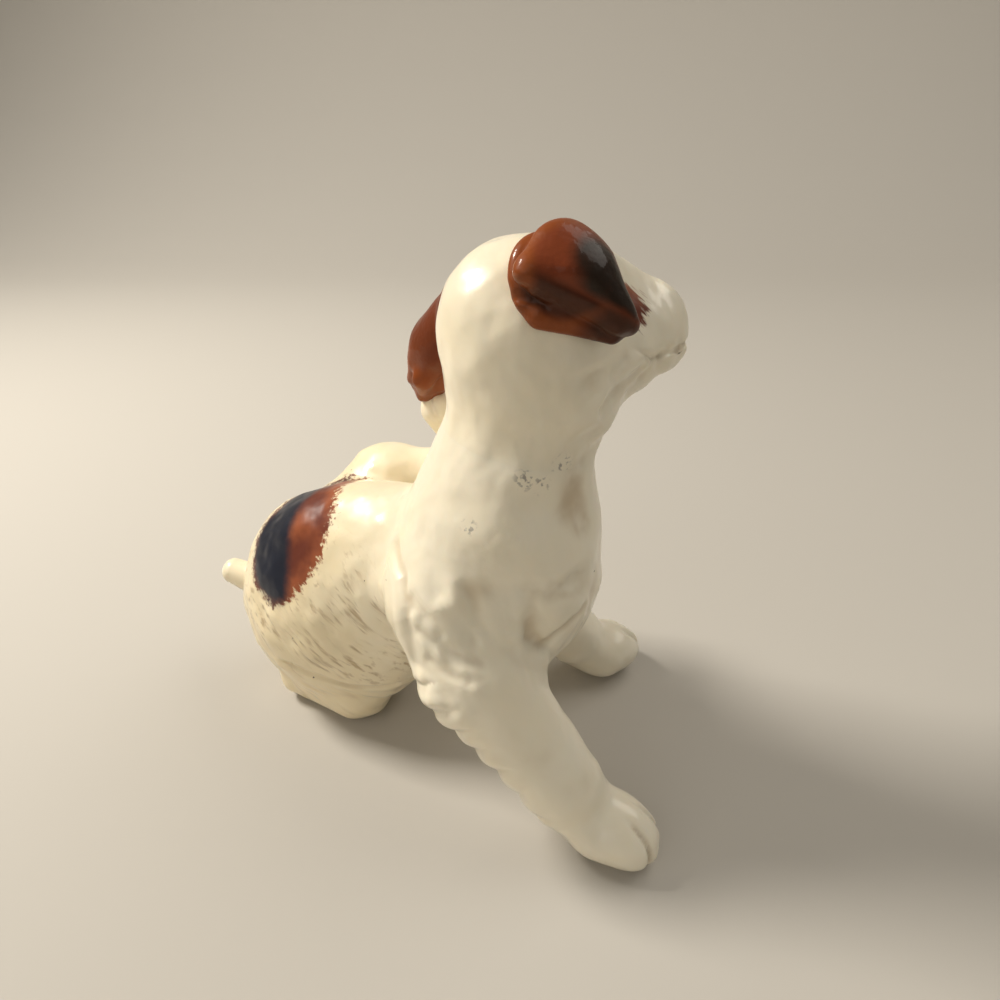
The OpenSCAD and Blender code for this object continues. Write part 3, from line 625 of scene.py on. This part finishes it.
def clefts(p, paw, set_of_axes, sides, depth=0.0011, width=0.0010):
    """Grooves between the toes, fanned out over the front of a paw."""
    q = (p - paw) @ set_of_axes.T
    front = rise(q[:, 0], 0.0015, 0.0085)
    total = 0
    for side in sides:
        total = total + np.exp(-((q[:, 1] - side * (0.7 + 25 * q[:, 0])) / width) ** 2)
    return depth * front * total


def scallops(p, start, end, radius, seed):
    """Tufts of modelled fur down the back edge of a leg, and faint furrows along it."""
    axis = unit(end - start)
    run = (p - start) @ axis
    out = (p - start - run[:, None] * axis) @ unit((-0.71, 0.47 * np.sign(start[1]), -0.52)) / radius
    edge = rise(out, 0.35, 0.95) * rise(run, -0.014, -0.004) * (1 - rise(run, 0.036, 0.046))
    wave = np.abs(np.sin(run / 0.0074 * math.pi + 1.1 * ripple(p, (0.009,) * 3, seed=seed)))
    grain = ripple(p, (0.016, 0.0048, 0.0048), along(axis), seed=seed + 40)
    return 0.0013 * edge * (wave - 0.6) + 0.00032 * grain


def right_leg_form(p):
    fur = scallops(p, RIGHT_ELBOW, RIGHT_WRIST, 0.012, 3) * clear_of(p, RIGHT_LEG_SEAM)
    toes = clefts(p, RIGHT_PAW, RIGHT_PAW_SET, RIGHT_CLEFTS)
    return right_leg_clay(p) - relief(p) - fur + toes - paw_bumps(p, RIGHT_PAW)


def paw_bumps(p, paw):
    return 0.00035 * ripple(p, (0.0065, 0.0065, 0.0065), seed=8) * spot(p, paw, 0.022)


def right_leg_coat(p):
    coat = plain_coat(p)
    toes = rise(clefts(p, RIGHT_PAW, RIGHT_PAW_SET, RIGHT_CLEFTS), 0.0003, 0.0010)
    # Painted shade in the furrows of the coat and between the toes.
    coat["hollow"] = np.clip(rise(-relief(p), 0.0002, 0.0010) + toes, 0, 1)
    return coat


leg = cast_piece("right_front_leg_cast", right_leg_clay, right_leg_form,
    low=(0.000, -0.0553, -0.003), high=(0.078, -0.0093, 0.070), cell=0.0005, seams=[RIGHT_LEG_SEAM, TABLE],
    seed=RIGHT_PAW + (0, 0, 0.009), coat=right_leg_coat, material=white_glaze)
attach(leg, "root")
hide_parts("right_front_leg")

# Left front leg. It stands forward and outward on the far side, cast and stuck on like the
# right one, with one cleft of its paw in view.
LEFT_LEG_SEAM = (at(0.098, 0.166, 0.296), unit((0.55, 0.70, -0.45)), 0.0288)
LEFT_ELBOW, LEFT_WRIST, LEFT_PAW = at(0.095, 0.162, 0.284), at(0.216, 0.230, 0.122), at(0.284, 0.274, 0.057)
LEFT_PAW_SET = axes(35, -10, 0)
LEFT_CLEFTS = (0.0040, -0.0035)
left_shoulder = bar(at(0.054, 0.108, 0.392), LEFT_ELBOW, 0.0150, 0.0120)
left_shin = bar(LEFT_ELBOW, LEFT_WRIST, 0.0120, 0.00948)
left_foot = egg(LEFT_PAW, (0.01302, 0.01001, 0.00902), LEFT_PAW_SET)


def left_leg(p):
    return melt(melt(left_shoulder(p), left_shin(p), JOINT_SOFT), left_foot(p), JOINT_SOFT)


def left_leg_clay(p):
    return melt(torso(p), left_leg(p), LIMB_SOFT)


def left_leg_form(p):
    fur = scallops(p, LEFT_ELBOW, LEFT_WRIST, 0.011, 4) * clear_of(p, LEFT_LEG_SEAM)
    toes = clefts(p, LEFT_PAW, LEFT_PAW_SET, LEFT_CLEFTS)
    return left_leg_clay(p) - relief(p) - fur + toes - paw_bumps(p, LEFT_PAW)


def left_leg_coat(p):
    coat = plain_coat(p)
    toes = rise(clefts(p, LEFT_PAW, LEFT_PAW_SET, LEFT_CLEFTS), 0.0004, 0.0012)
    # Painted shade in the furrows of the coat and between the toes.
    coat["hollow"] = np.clip(rise(-relief(p), 0.0002, 0.0010) + toes, 0, 1)
    return coat


leg = cast_piece("left_front_leg_cast", left_leg_clay, left_leg_form,
    low=(0.006, -0.0053, -0.003), high=(0.070, 0.0487, 0.066), cell=0.0005, seams=[LEFT_LEG_SEAM, TABLE],
    seed=LEFT_PAW + (0, 0, 0.009), coat=left_leg_coat, material=white_glaze)
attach(leg, "root")
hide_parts("left_front_leg")

# Raised left hind leg, in two castings: the thigh and shank, and from the hock up the paw that
# scratches the left ear. Slip seams join them to each other and to the loins.
THIGH_SEAM = (at(-0.250, 0.257, 0.362), unit((0, 0.92, 0.38)), 0.0275)
KNEE, HOCK, SCRATCH = at(-0.203, 0.291, 0.412), at(0.020, 0.311, 0.459), at(-0.056, 0.224, 0.637)
thigh = bar(at(-0.311, 0.196, 0.297), KNEE, 0.01704, 0.0120)
shank = bar(KNEE, HOCK, 0.0120, 0.0080)
hind_paw = bar(HOCK, SCRATCH, 0.0080, 0.00625)
HOCK_SEAM = (HOCK, unit(unit(HOCK - KNEE) + unit(SCRATCH - HOCK)), 0.025)


def raised_leg(p):
    return melt(melt(thigh(p), shank(p), JOINT_SOFT), hind_paw(p), CREASE_SOFT)


def raised_clay(p):
    return melt(torso(p), raised_leg(p), CREASE_SOFT)


def raised_form(p):
    up = unit(SCRATCH - HOCK)
    side = unit(np.cross(SCRATCH - HOCK, (1, 0.3, 0)))
    around = np.arctan2((p - SCRATCH) @ side, (p - SCRATCH) @ np.cross(side, up))
    tip = rise((p - SCRATCH) @ up, -0.009, 0.000)
    toes = np.abs(np.sin(2.0 * around + 0.4)) ** 0.6
    near = spot(p, at(-0.20, 0.33, 0.40), 0.030) * clear_of(p, THIGH_SEAM)
    fur = within(near, p, lambda q: 0.0005 * ripple(q, (0.011, 0.004, 0.004), axes(5, 12, 0), seed=11))
    return raised_clay(p) + 0.0011 * tip * (1 - toes) - fur - relief(p)


def raised_coat(p):
    coat = plain_coat(p)
    coat["brown"], coat["black"] = patch_edge(p)
    # Painted shade in the furrows of the coat.
    coat["hollow"] = rise(-relief(p), 0.0002, 0.0010)
    return coat


leg = cast_piece("left_hind_leg_cast", raised_clay, raised_form,
    low=(-0.052, 0.0107, 0.030), high=(0.030, 0.0507, 0.082), cell=0.0005, seams=[THIGH_SEAM, HOCK_SEAM],
    seed=KNEE + (0, 0.011, 0.002), coat=raised_coat, material=white_glaze)
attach(leg, "root")
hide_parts("left_hind_leg")
paw = cast_piece("left_hind_paw_cast", raised_leg, raised_form,
    low=(-0.010, 0.0127, 0.058), high=(0.028, 0.0487, 0.104), cell=0.00045, seams=[HOCK_SEAM],
    seed=(HOCK + SCRATCH) / 2 + (0.006, 0, 0), coat=raised_coat, material=white_glaze)
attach(paw, "root")
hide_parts("left_hind_paw")

# Head. Turned and leaned to its left, with folds under the jaw. The face is turned away in the
# photo, so its eyes, nose and mouth are a plain terrier's, guessed.
SKULL = at(0.132, 0.061, 0.845)
HEAD_SET = axes(42, 5, 28)
WIDE = 0.039


def on_head(forwards, left, up):
    return SKULL + (np.array([forwards, left, up]) * WIDE) @ HEAD_SET


def from_head(p):
    return (p - SKULL) @ HEAD_SET.T / WIDE


MUZZLE = (0.0418 - 0.009) / WIDE
skull = egg(on_head(0.005, 0, 0.02), (0.0203, 0.0195, 0.0203), HEAD_SET)
muzzle = bar(on_head(0.26, 0, -0.15), on_head(MUZZLE, 0, -0.18), 0.0135, 0.0090)
jaw = bar(on_head(0.21, 0, -0.33), on_head(MUZZLE - 0.05, 0, -0.28), 0.01098, 0.00801)
brow = egg(on_head(0.36, 0, 0.20), (0.00624, 0.01326, 0.00546), HEAD_SET)
bridge = bar(on_head(0.45, 0.06, 0.20), on_head(0.86, 0.03, -0.04), 0.0108, 0.0068)
nose = egg(on_head(MUZZLE + 0.19, 0, -0.11), (0.00324, 0.0045, 0.00342), HEAD_SET)
NECK_WAY = unit(NECK_TOP - NECK_FOOT)
NECK_SEAM = (NECK_FOOT + (NECK_TOP - NECK_FOOT) * 0.66, NECK_WAY, 0.035)


def trunk(p):
    f = melt(melt(skull(p), muzzle(p), LIMB_SOFT), bridge(p), JOINT_SOFT)
    return melt(torso(p), melt(f, jaw(p), JOINT_SOFT), LIMB_SOFT)


def head_clay(p):
    return melt(melt(trunk(p), brow(p), JOINT_SOFT), nose(p), RIM_SOFT)


def on_skin(clay, start, end):
    """The place where a line from inside the clay leaves it."""
    for _ in range(24):
        middle = (start + end) / 2
        start, end = (middle, end) if clay(middle[None])[0] < 0 else (start, middle)
    return start


EYES = [on_skin(head_clay, on_head(0.25, side * 0.10, 0.0), on_head(0.72, side * 0.80, 0.16))
    for side in (-1, 1)]


def bulge(p, eye):
    """The ball of an eye, with a groove round it."""
    away = np.linalg.norm(p - eye, axis=1)
    return np.exp(-(away / 0.0026) ** 2) - 0.7 * np.exp(-((away - 0.0040) / 0.0010) ** 2)


def mouth_line(q):
    """Distance from the line of the mouth, in head shares, q being from_head(p)."""
    return np.abs(q[:, 2] + 0.27 + 0.10 * rise(q[:, 0], 0.35, 0.65) - 0.05 * rise(q[:, 0], 0.85, 1.1))


def head_detail(p):
    q = from_head(p)
    face = rise(q[:, 0], 0.42, 0.56)
    groove_of_mouth = np.exp(-(mouth_line(q) / 0.020) ** 2) * face
    eye = sum(bulge(p, e) for e in EYES)
    under = rise(-q[:, 2], 0.20, 0.36) * rise(q[:, 0], -0.10, 0.12) * (1 - rise(q[:, 0], 0.72, 0.95))
    folds = ripple(p, (0.0140, 0.0036, 0.0036), along(np.array([0.97, 0, 0.24]) @ HEAD_SET), seed=21)
    beard = ripple(p, (0.0080, 0.0036, 0.0036), along(np.array([0.35, 0, -0.94]) @ HEAD_SET), seed=22)
    cheeks = rise(q[:, 0], 0.35, 0.60) * (1 - rise(q[:, 0], 0.98, 1.12)) * rise(-q[:, 2], -0.10, 0.12)
    throat = spot(p, (0.046, -0.0103, 0.106), 0.017)
    rolls = ripple(p, (0.0150, 0.0040, 0.0040), along((0.55, 0.45, 0.70)), seed=23)
    skin = -0.0008 * groove_of_mouth + 0.0008 * eye + 0.00075 * under * folds + 0.00050 * cheeks * beard
    return (skin + 0.0006 * throat * rolls) * clear_of(p, NECK_SEAM)


def head_form(p):
    return head_clay(p) - head_detail(p) - relief(p)


def head_coat(p):
    coat = plain_coat(p)
    q = from_head(p)
    eye = [np.linalg.norm((p - e) @ HEAD_SET.T / (0.0029, 0.0026, 0.0023), axis=1) for e in EYES]
    eye = (np.min(eye, axis=0) - 1) * 2.3
    tip = (np.linalg.norm((q - (MUZZLE + 0.25, 0.03, -0.10)) / (0.08, 0.10, 0.085), axis=1) - 1) * 3.0
    coat["paint"] = np.minimum(eye, tip)
    cheek = np.linalg.norm((p - on_head(0.50, -0.34, -0.02)) @ HEAD_SET.T / (0.0075, 0.0065, 0.0060), axis=1)
    coat["brown"] = (cheek - 1) * 5
    coat["warmth"] = 0.42 - 0.2 * rise(p[:, 0], 0.02, 0.05)
    coat["soot"] = spot(p, (0.041, -0.0166, 0.100), 0.004)
    # Painted shade in the folds of the jaw and throat, along the mouth and round the eyes.
    coat["hollow"] = 0.8 * rise(-head_detail(p) - relief(p), 0.0003, 0.0010)
    return coat


head = cast_piece("head_cast", head_clay, head_form,
    low=(0.000, -0.0273, 0.090), high=(0.074, 0.0347, 0.152), cell=0.0005, seams=[NECK_SEAM],
    seed=on_head(0, 0.1, 0.5), coat=head_coat, material=white_glaze)
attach(head, "root")
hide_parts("head")

# Ears. Each is a thick leaf of clay folded down over a round root, with long ridges of fur in
# the fold. Red-brown under a thick glossy glaze, airbrushed almost black over the fold, and
# darkened under the right ear's fold as painted shade.
EAR_RED, EAR_DARK, EAR_EDGE = (0.165, 0.032, 0.009, 1), (0.018, 0.009, 0.004, 1), (0.230, 0.055, 0.011, 1)
brown_glaze = bpy.data.materials.new("brown_glaze")
brown_glaze.use_nodes = True
tree = brown_glaze.node_tree
shader = tree.nodes["Principled BSDF"]
cloud = noise(tree, (0.0075, 0.0075, 0.0075), detail=4, roughness=0.6)
# The dark share darkens towards almost black: the airbrushing over the fold, and painted shade under the
# right ear's fold.
dark = math_node(tree, "ADD", attribute(tree, "dark"),
    math_node(tree, "MULTIPLY_ADD", cloud, 0.5, -0.25), clamp=True)
thin = math_node(tree, "ADD", attribute(tree, "thin"),
    math_node(tree, "MULTIPLY_ADD", cloud, 0.6, -0.3), clamp=True)
colour = blend(tree, thin, EAR_RED, EAR_EDGE)
colour = blend(tree, dark, colour, EAR_DARK)
link(tree, colour, shader.inputs["Base Color"])
shader.inputs["Roughness"].default_value = 0.45
shader.inputs["Specular IOR Level"].default_value = 0.10
shader.inputs["Coat Weight"].default_value = 0.28
shader.inputs["Coat Roughness"].default_value = 0.06
shader.inputs["Coat IOR"].default_value = 1.42
bump(tree, shader, [(noise(tree, (0.0035, 0.0035, 0.0035), detail=2), 0.00030),
    (noise(tree, (0.0009, 0.0009, 0.0009), detail=2), 0.00003)])

# Right ear. A disc at its root, stuck on the skull, and a flap folded forwards over it and drawn
# out to a tip. In the head's axes, RUN goes down along the fold and RISE across it.
RUN, RISE = unit((0.775, 0, -0.637)), unit((0.637, 0, 0.775))
RIGHT_EAR_SET = np.array([RUN @ HEAD_SET, np.array([0, -1, 0]) @ HEAD_SET, RISE @ HEAD_SET])
EDGE_START, EDGE_END = on_head(-0.235, -0.60, 0.225), on_head(0.15, -0.66, -0.13)
EAR_ROOT = on_head(-0.02, -0.46, 0.165)
ear_disc = egg(EAR_ROOT, (0.0100, 0.0042, 0.0102), HEAD_SET)
ear_lobe = egg(on_head(0.018, -0.58, 0.16), (0.0089, 0.0055, 0.0110), HEAD_SET)
ear_tip = bar(on_head(0.05, -0.62, 0.08), on_head(0.20, -0.66, -0.18), 0.0069, 0.0022)
ear_edge = bar(EDGE_START, EDGE_END, 0.0016, 0.0020)
ear_lap = bar(on_head(-0.16, -0.49, 0.01), on_head(0.17, -0.57, -0.175), 0.0026, 0.0026)
ear_ridges = [bar(on_head(-0.20, -0.575, 0.13), on_head(0.12, -0.60, -0.13), 0.0011, 0.0014),
    bar(on_head(-0.12, -0.555, 0.02), on_head(0.06, -0.585, -0.135), 0.0010, 0.0013)]
EAR_UP = unit(np.cross(np.array([-0.04, -0.94, 0.34]) @ HEAD_SET, EDGE_END - EDGE_START))


def right_flap(p):
    """The upper flap: a round lobe drawn out to a tip and cut off along its thick lower edge."""
    f = melt(ear_lobe(p), ear_tip(p), JOINT_SOFT)
    under = (EDGE_START - p) @ EAR_UP
    return melt(-melt(-f, -under, 0.0015), ear_edge(p), JOINT_SOFT)


def right_ear_clay(p):
    f = melt(melt(ear_disc(p), ear_lap(p), RIM_SOFT), right_flap(p), 0.0006)
    for ridge in ear_ridges:
        f = melt(f, ridge(p), 0.0010)
    return np.maximum(f, -(head_clay(p) + 0.0006))


def right_ear_form(p):
    q = (p - EDGE_START) @ RIGHT_EAR_SET.T
    strands = ripple(p, (0.010, 0.006, 0.0016), RIGHT_EAR_SET, seed=41)
    below = 1 - rise(q[..., 2], -0.002, 0.000)
    return right_ear_clay(p) - 0.0004 * below * strands - 0.0002 * ripple(p, (0.007,) * 3, seed=42)


def right_ear_coat(p):
    q = (p - EDGE_START) @ RIGHT_EAR_SET.T
    fold = rise(q[:, 2], -0.0020, 0.0005)
    start, end = np.array([0.0110, 0.0055]), np.array([0.0185, -0.0005])
    share = np.clip((q[:, [0, 2]] - start) @ (end - start) / ((end - start) @ (end - start)), 0, 1)
    away = np.linalg.norm(q[:, [0, 2]] - start - share[:, None] * (end - start), axis=1)
    sprayed = 1 - rise(away, 0.0034, 0.0074)
    # Painted shade: the glaze under the fold is darkened, less so towards the rim.
    recess_shade = (1 - fold) * rise(q[:, 2], -0.0075, -0.0040) * 0.75
    out = np.linalg.norm(((p - EAR_ROOT) @ HEAD_SET.T)[:, [0, 2]], axis=1)
    rim = rise(out, 0.0075, 0.0098) * (1 - rise(q[:, 2], 0.006, 0.012) * 0.4) \
        * (1 - rise(q[:, 0], 0.012, 0.018))
    return {"dark": np.maximum(sprayed * fold, recess_shade * (1 - 0.8 * rim)), "thin": np.clip(rim + 0.12, 0, 1)}


ear = cast_piece("right_ear_cast", right_ear_clay, right_ear_form,
    low=(0.018, -0.0313, 0.120), high=(0.062, 0.0087, 0.156), cell=0.00035, seams=[],
    seed=on_head(0, -0.8, 0.2), coat=right_ear_coat, material=brown_glaze)
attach(ear, "root")
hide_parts("right_ear")

# Left ear. It hangs on the far side down to the scratching paw, with a curled lower end, and
# is stuck on the skull by its root disc like the right one.
LEFT_EAR = at(-0.043, 0.190, 0.768)
LEFT_EAR_SET = axes(156, -65, 20)
left_disc = egg(on_head(-0.05, 0.43, 0.20), (0.0105, 0.00357, 0.0105), HEAD_SET)
left_fold = bar(on_head(-0.05, 0.44, 0.20), LEFT_EAR, 0.00609, 0.00756)
left_flap = egg(LEFT_EAR, (0.0189, 0.00924, 0.00605), LEFT_EAR_SET)


def left_ear_clay(p):
    f = melt(left_disc(p), melt(left_fold(p), left_flap(p), JOINT_SOFT), CREASE_SOFT)
    return np.maximum(f, -(head_clay(p) + 0.0006))


def left_ear_form(p):
    q = (p - LEFT_EAR) @ LEFT_EAR_SET.T
    low = rise(q[:, 0], -0.002, 0.006)
    curl = ripple(p, (0.0062, 0.0032, 0.0032), LEFT_EAR_SET, seed=51)
    return left_ear_clay(p) - 0.0009 * low * curl - 0.0003 * ripple(p, (0.008,) * 3, seed=52)


def left_ear_coat(p):
    q = (p - LEFT_EAR) @ LEFT_EAR_SET.T
    low = rise(q[:, 0], -0.004, 0.008)
    return {"dark": 0.25 * (1 - low), "thin": 0.15 + 0.75 * low}


ear = cast_piece("left_ear_cast", left_ear_clay, left_ear_form,
    low=(-0.014, -0.0053, 0.092), high=(0.034, 0.0367, 0.144), cell=0.0004, seams=[],
    seed=LEFT_EAR + (-0.006, 0.003, 0), coat=left_ear_coat, material=brown_glaze)
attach(ear, "root")
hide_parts("left_ear")

# Body. Rump, loins, chest and lower neck in one casting with the folded right hind leg. Long
# oblique grooves of fur cross the haunch, a crease parts it from the folded leg, and the rump
# has a patch painted blue-black at the back and red-brown in front.
HEEL, TOES = at(-0.343, 0.077, 0.061), at(-0.207, 0.040, 0.056)
folded_leg = bar(HEEL, TOES, 0.0095, 0.0095)
HAIR_SET = along((0.78, -0.10, -0.62))
SMUDGES = [((0.0336, -0.0221, 0.0985), 0.0035), ((0.0368, -0.0210, 0.0971), 0.0030),
    ((0.0220, -0.0270, 0.0879), 0.0025)]


def body_clay(p):
    f = melt(melt(trunk(p), right_leg(p), LIMB_SOFT), left_leg(p), LIMB_SOFT)
    f = melt(f, raised_leg(p), CREASE_SOFT)
    return melt(melt(f, folded_leg(p), 0.6 * CREASE_SOFT), dock(p), CREASE_SOFT)


def hair(p):
    """Soft locks of hair that run forwards and down over the flank, in shares of their depth."""
    low = 1 - rise(p[:, 2] + 0.25 * p[:, 0], 0.042, 0.066)
    side = rise(-p[:, 1], 0.0013, 0.0093) * rise(-p[:, 0], -0.008, 0.004)
    back = rise(p[:, 1], 0.0207, 0.0287) * (1 - rise(p[:, 0], -0.016, -0.004))
    place = np.maximum(low * side, 0.8 * low * back) * rise(patch_edge(p)[0], 0.0, 3.0)

    def locks(q):
        patchy = 0.55 + 0.45 * ripple(q, (0.013, 0.013, 0.013), seed=67)
        q = q + 0.0015 * ripple(q, (0.010,) * 3, seed=66)[:, None]
        return patchy * (ripple(q, (0.0110, 0.0060, 0.0024), HAIR_SET, seed=61)
            + 0.5 * ripple(q, (0.0060, 0.0040, 0.0013), HAIR_SET, seed=65))
    return within(place, p, locks)


def folded_detail(p):
    """Lumps of fur and toes along the folded leg, and hollows above it."""
    near = np.maximum(spot(p, HEEL, 0.018), spot(p, (HEEL + TOES) / 2, 0.018))
    near = near * (1 - rise(p[:, 2], 0.018, 0.026))
    return within(near, p, lambda q: 0.0011 * ripple(q, (0.0075, 0.0050, 0.0050), seed=62))


def body_form(p):
    rolls = within(1 - rise(p[:, 0], -0.008, 0.010), p,
        lambda q: 0.00030 * ripple(q, (0.012, 0.012, 0.012), seed=63))
    flank = within(spot(p, (0.002, -0.0253, 0.050), 0.020), p,
        lambda q: 0.0008 * ripple(q, (0.0042, 0.0042, 0.0120), along((0.25, 0, -1)), seed=64))
    ends = clear_of(p, RIGHT_LEG_SEAM, THIGH_SEAM, TAIL_SEAM)
    return body_clay(p) - relief(p) - ends * (0.00034 * hair(p) + folded_detail(p) + rolls) - ends * flank


def body_coat(p):
    coat = plain_coat(p)
    coat["brown"], coat["black"] = patch_edge(p)
    below_back = 1 - rise(p[:, 2] + 0.3 * p[:, 0], 0.050, 0.070)
    coat["hair"] = rise(-p[:, 0], -0.010, 0.002) * rise(p[:, 2], 0.018, 0.026) * below_back \
        * rise(coat["brown"], -1.0, 2.0)
    # Painted shade between the locks of hair, in the furrows of the coat and among the lumps of the folded
    # leg.
    coat["hollow"] = np.clip(0.7 * rise(-hair(p), 0.10, 0.60) + rise(-relief(p), 0.0002, 0.0010)
        + rise(-folded_detail(p), 0.0003, 0.0010), 0, 1)
    coat["soot"] = np.max([spot(p, place, radius) for place, radius in SMUDGES], axis=0)
    return coat


body = cast_piece("body_cast", body_clay, body_form,
    low=(-0.068, -0.0453, -0.003), high=(0.058, 0.0427, 0.108), cell=0.00062,
    seams=[NECK_SEAM, RIGHT_LEG_SEAM, LEFT_LEG_SEAM, THIGH_SEAM, TAIL_SEAM, TABLE],
    seed=(-0.02, 0.0037, 0.08), coat=body_coat, material=white_glaze)
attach(body, "root")
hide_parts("body")

# Iron specks. Here and there a dark speck of iron in the clay has come up through the glaze of
# the body, as on most cheap cast porcelain. Geometry Nodes scatter them over the body's skin.
SPECK_DARK, SPECK_PALE = (0.035, 0.022, 0.015, 1), (0.17, 0.12, 0.08, 1)
speck_glaze = bpy.data.materials.new("iron_speck")
speck_glaze.use_nodes = True
tree = speck_glaze.node_tree
shader = tree.nodes["Principled BSDF"]
rust = blend(tree, noise(tree, (0.0004, 0.0004, 0.0004)), SPECK_DARK, SPECK_PALE)
link(tree, rust, shader.inputs["Base Color"])
shader.inputs["Roughness"].default_value = 0.35
specks = bpy.data.node_groups.new("iron_specks", "GeometryNodeTree")
specks.interface.new_socket("Skin", in_out="INPUT", socket_type="NodeSocketGeometry")
specks.interface.new_socket("Geometry", in_out="OUTPUT", socket_type="NodeSocketGeometry")
SPECK_INPUTS = [("Specks per square metre", "NodeSocketFloat", 900.0),
    ("Radius", "NodeSocketFloat", 0.00026), ("Seed", "NodeSocketInt", 4)]
sockets = [specks.interface.new_socket(name, in_out="INPUT", socket_type=kind).identifier
    for name, kind, _ in SPECK_INPUTS]
entry, leaving = node(specks, "NodeGroupInput"), node(specks, "NodeGroupOutput")
scatter = node(specks, "GeometryNodeDistributePointsOnFaces")
ball = node(specks, "GeometryNodeMeshIcoSphere")
ball.inputs["Subdivisions"].default_value = 2
size = node(specks, "FunctionNodeRandomValue", data_type="FLOAT_VECTOR")
size.inputs["Min"].default_value = (0.5, 0.5, 0.25)
size.inputs["Max"].default_value = (1.3, 1.1, 0.35)
placed = node(specks, "GeometryNodeInstanceOnPoints")
real = node(specks, "GeometryNodeRealizeInstances")
stained = node(specks, "GeometryNodeSetMaterial")
stained.inputs["Material"].default_value = speck_glaze
link(specks, entry.outputs["Skin"], scatter.inputs["Mesh"])
link(specks, entry.outputs["Specks per square metre"], scatter.inputs["Density"])
link(specks, entry.outputs["Seed"], scatter.inputs["Seed"])
link(specks, entry.outputs["Seed"], size.inputs["Seed"])
link(specks, entry.outputs["Radius"], ball.inputs["Radius"])
link(specks, scatter.outputs["Points"], placed.inputs["Points"])
link(specks, scatter.outputs["Rotation"], placed.inputs["Rotation"])
link(specks, ball.outputs["Mesh"], placed.inputs["Instance"])
link(specks, size.outputs[0], placed.inputs["Scale"])
link(specks, placed.outputs["Instances"], real.inputs["Geometry"])
link(specks, real.outputs["Geometry"], stained.inputs["Geometry"])
link(specks, stained.outputs["Geometry"], leaving.inputs["Geometry"])
source = bpy.data.objects.new("speck_source", body.data.copy())
bpy.context.scene.collection.objects.link(source)
modifier = source.modifiers.new("specks", "NODES")
modifier.node_group = specks
for socket, (_, _, value) in zip(sockets, SPECK_INPUTS):
    modifier[socket] = value
made = bpy.data.meshes.new_from_object(source.evaluated_get(bpy.context.evaluated_depsgraph_get()))
bpy.data.objects.remove(source)
speck_piece = bpy.data.objects.new("iron_specks", made)
bpy.context.scene.collection.objects.link(speck_piece)
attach(speck_piece, "root")
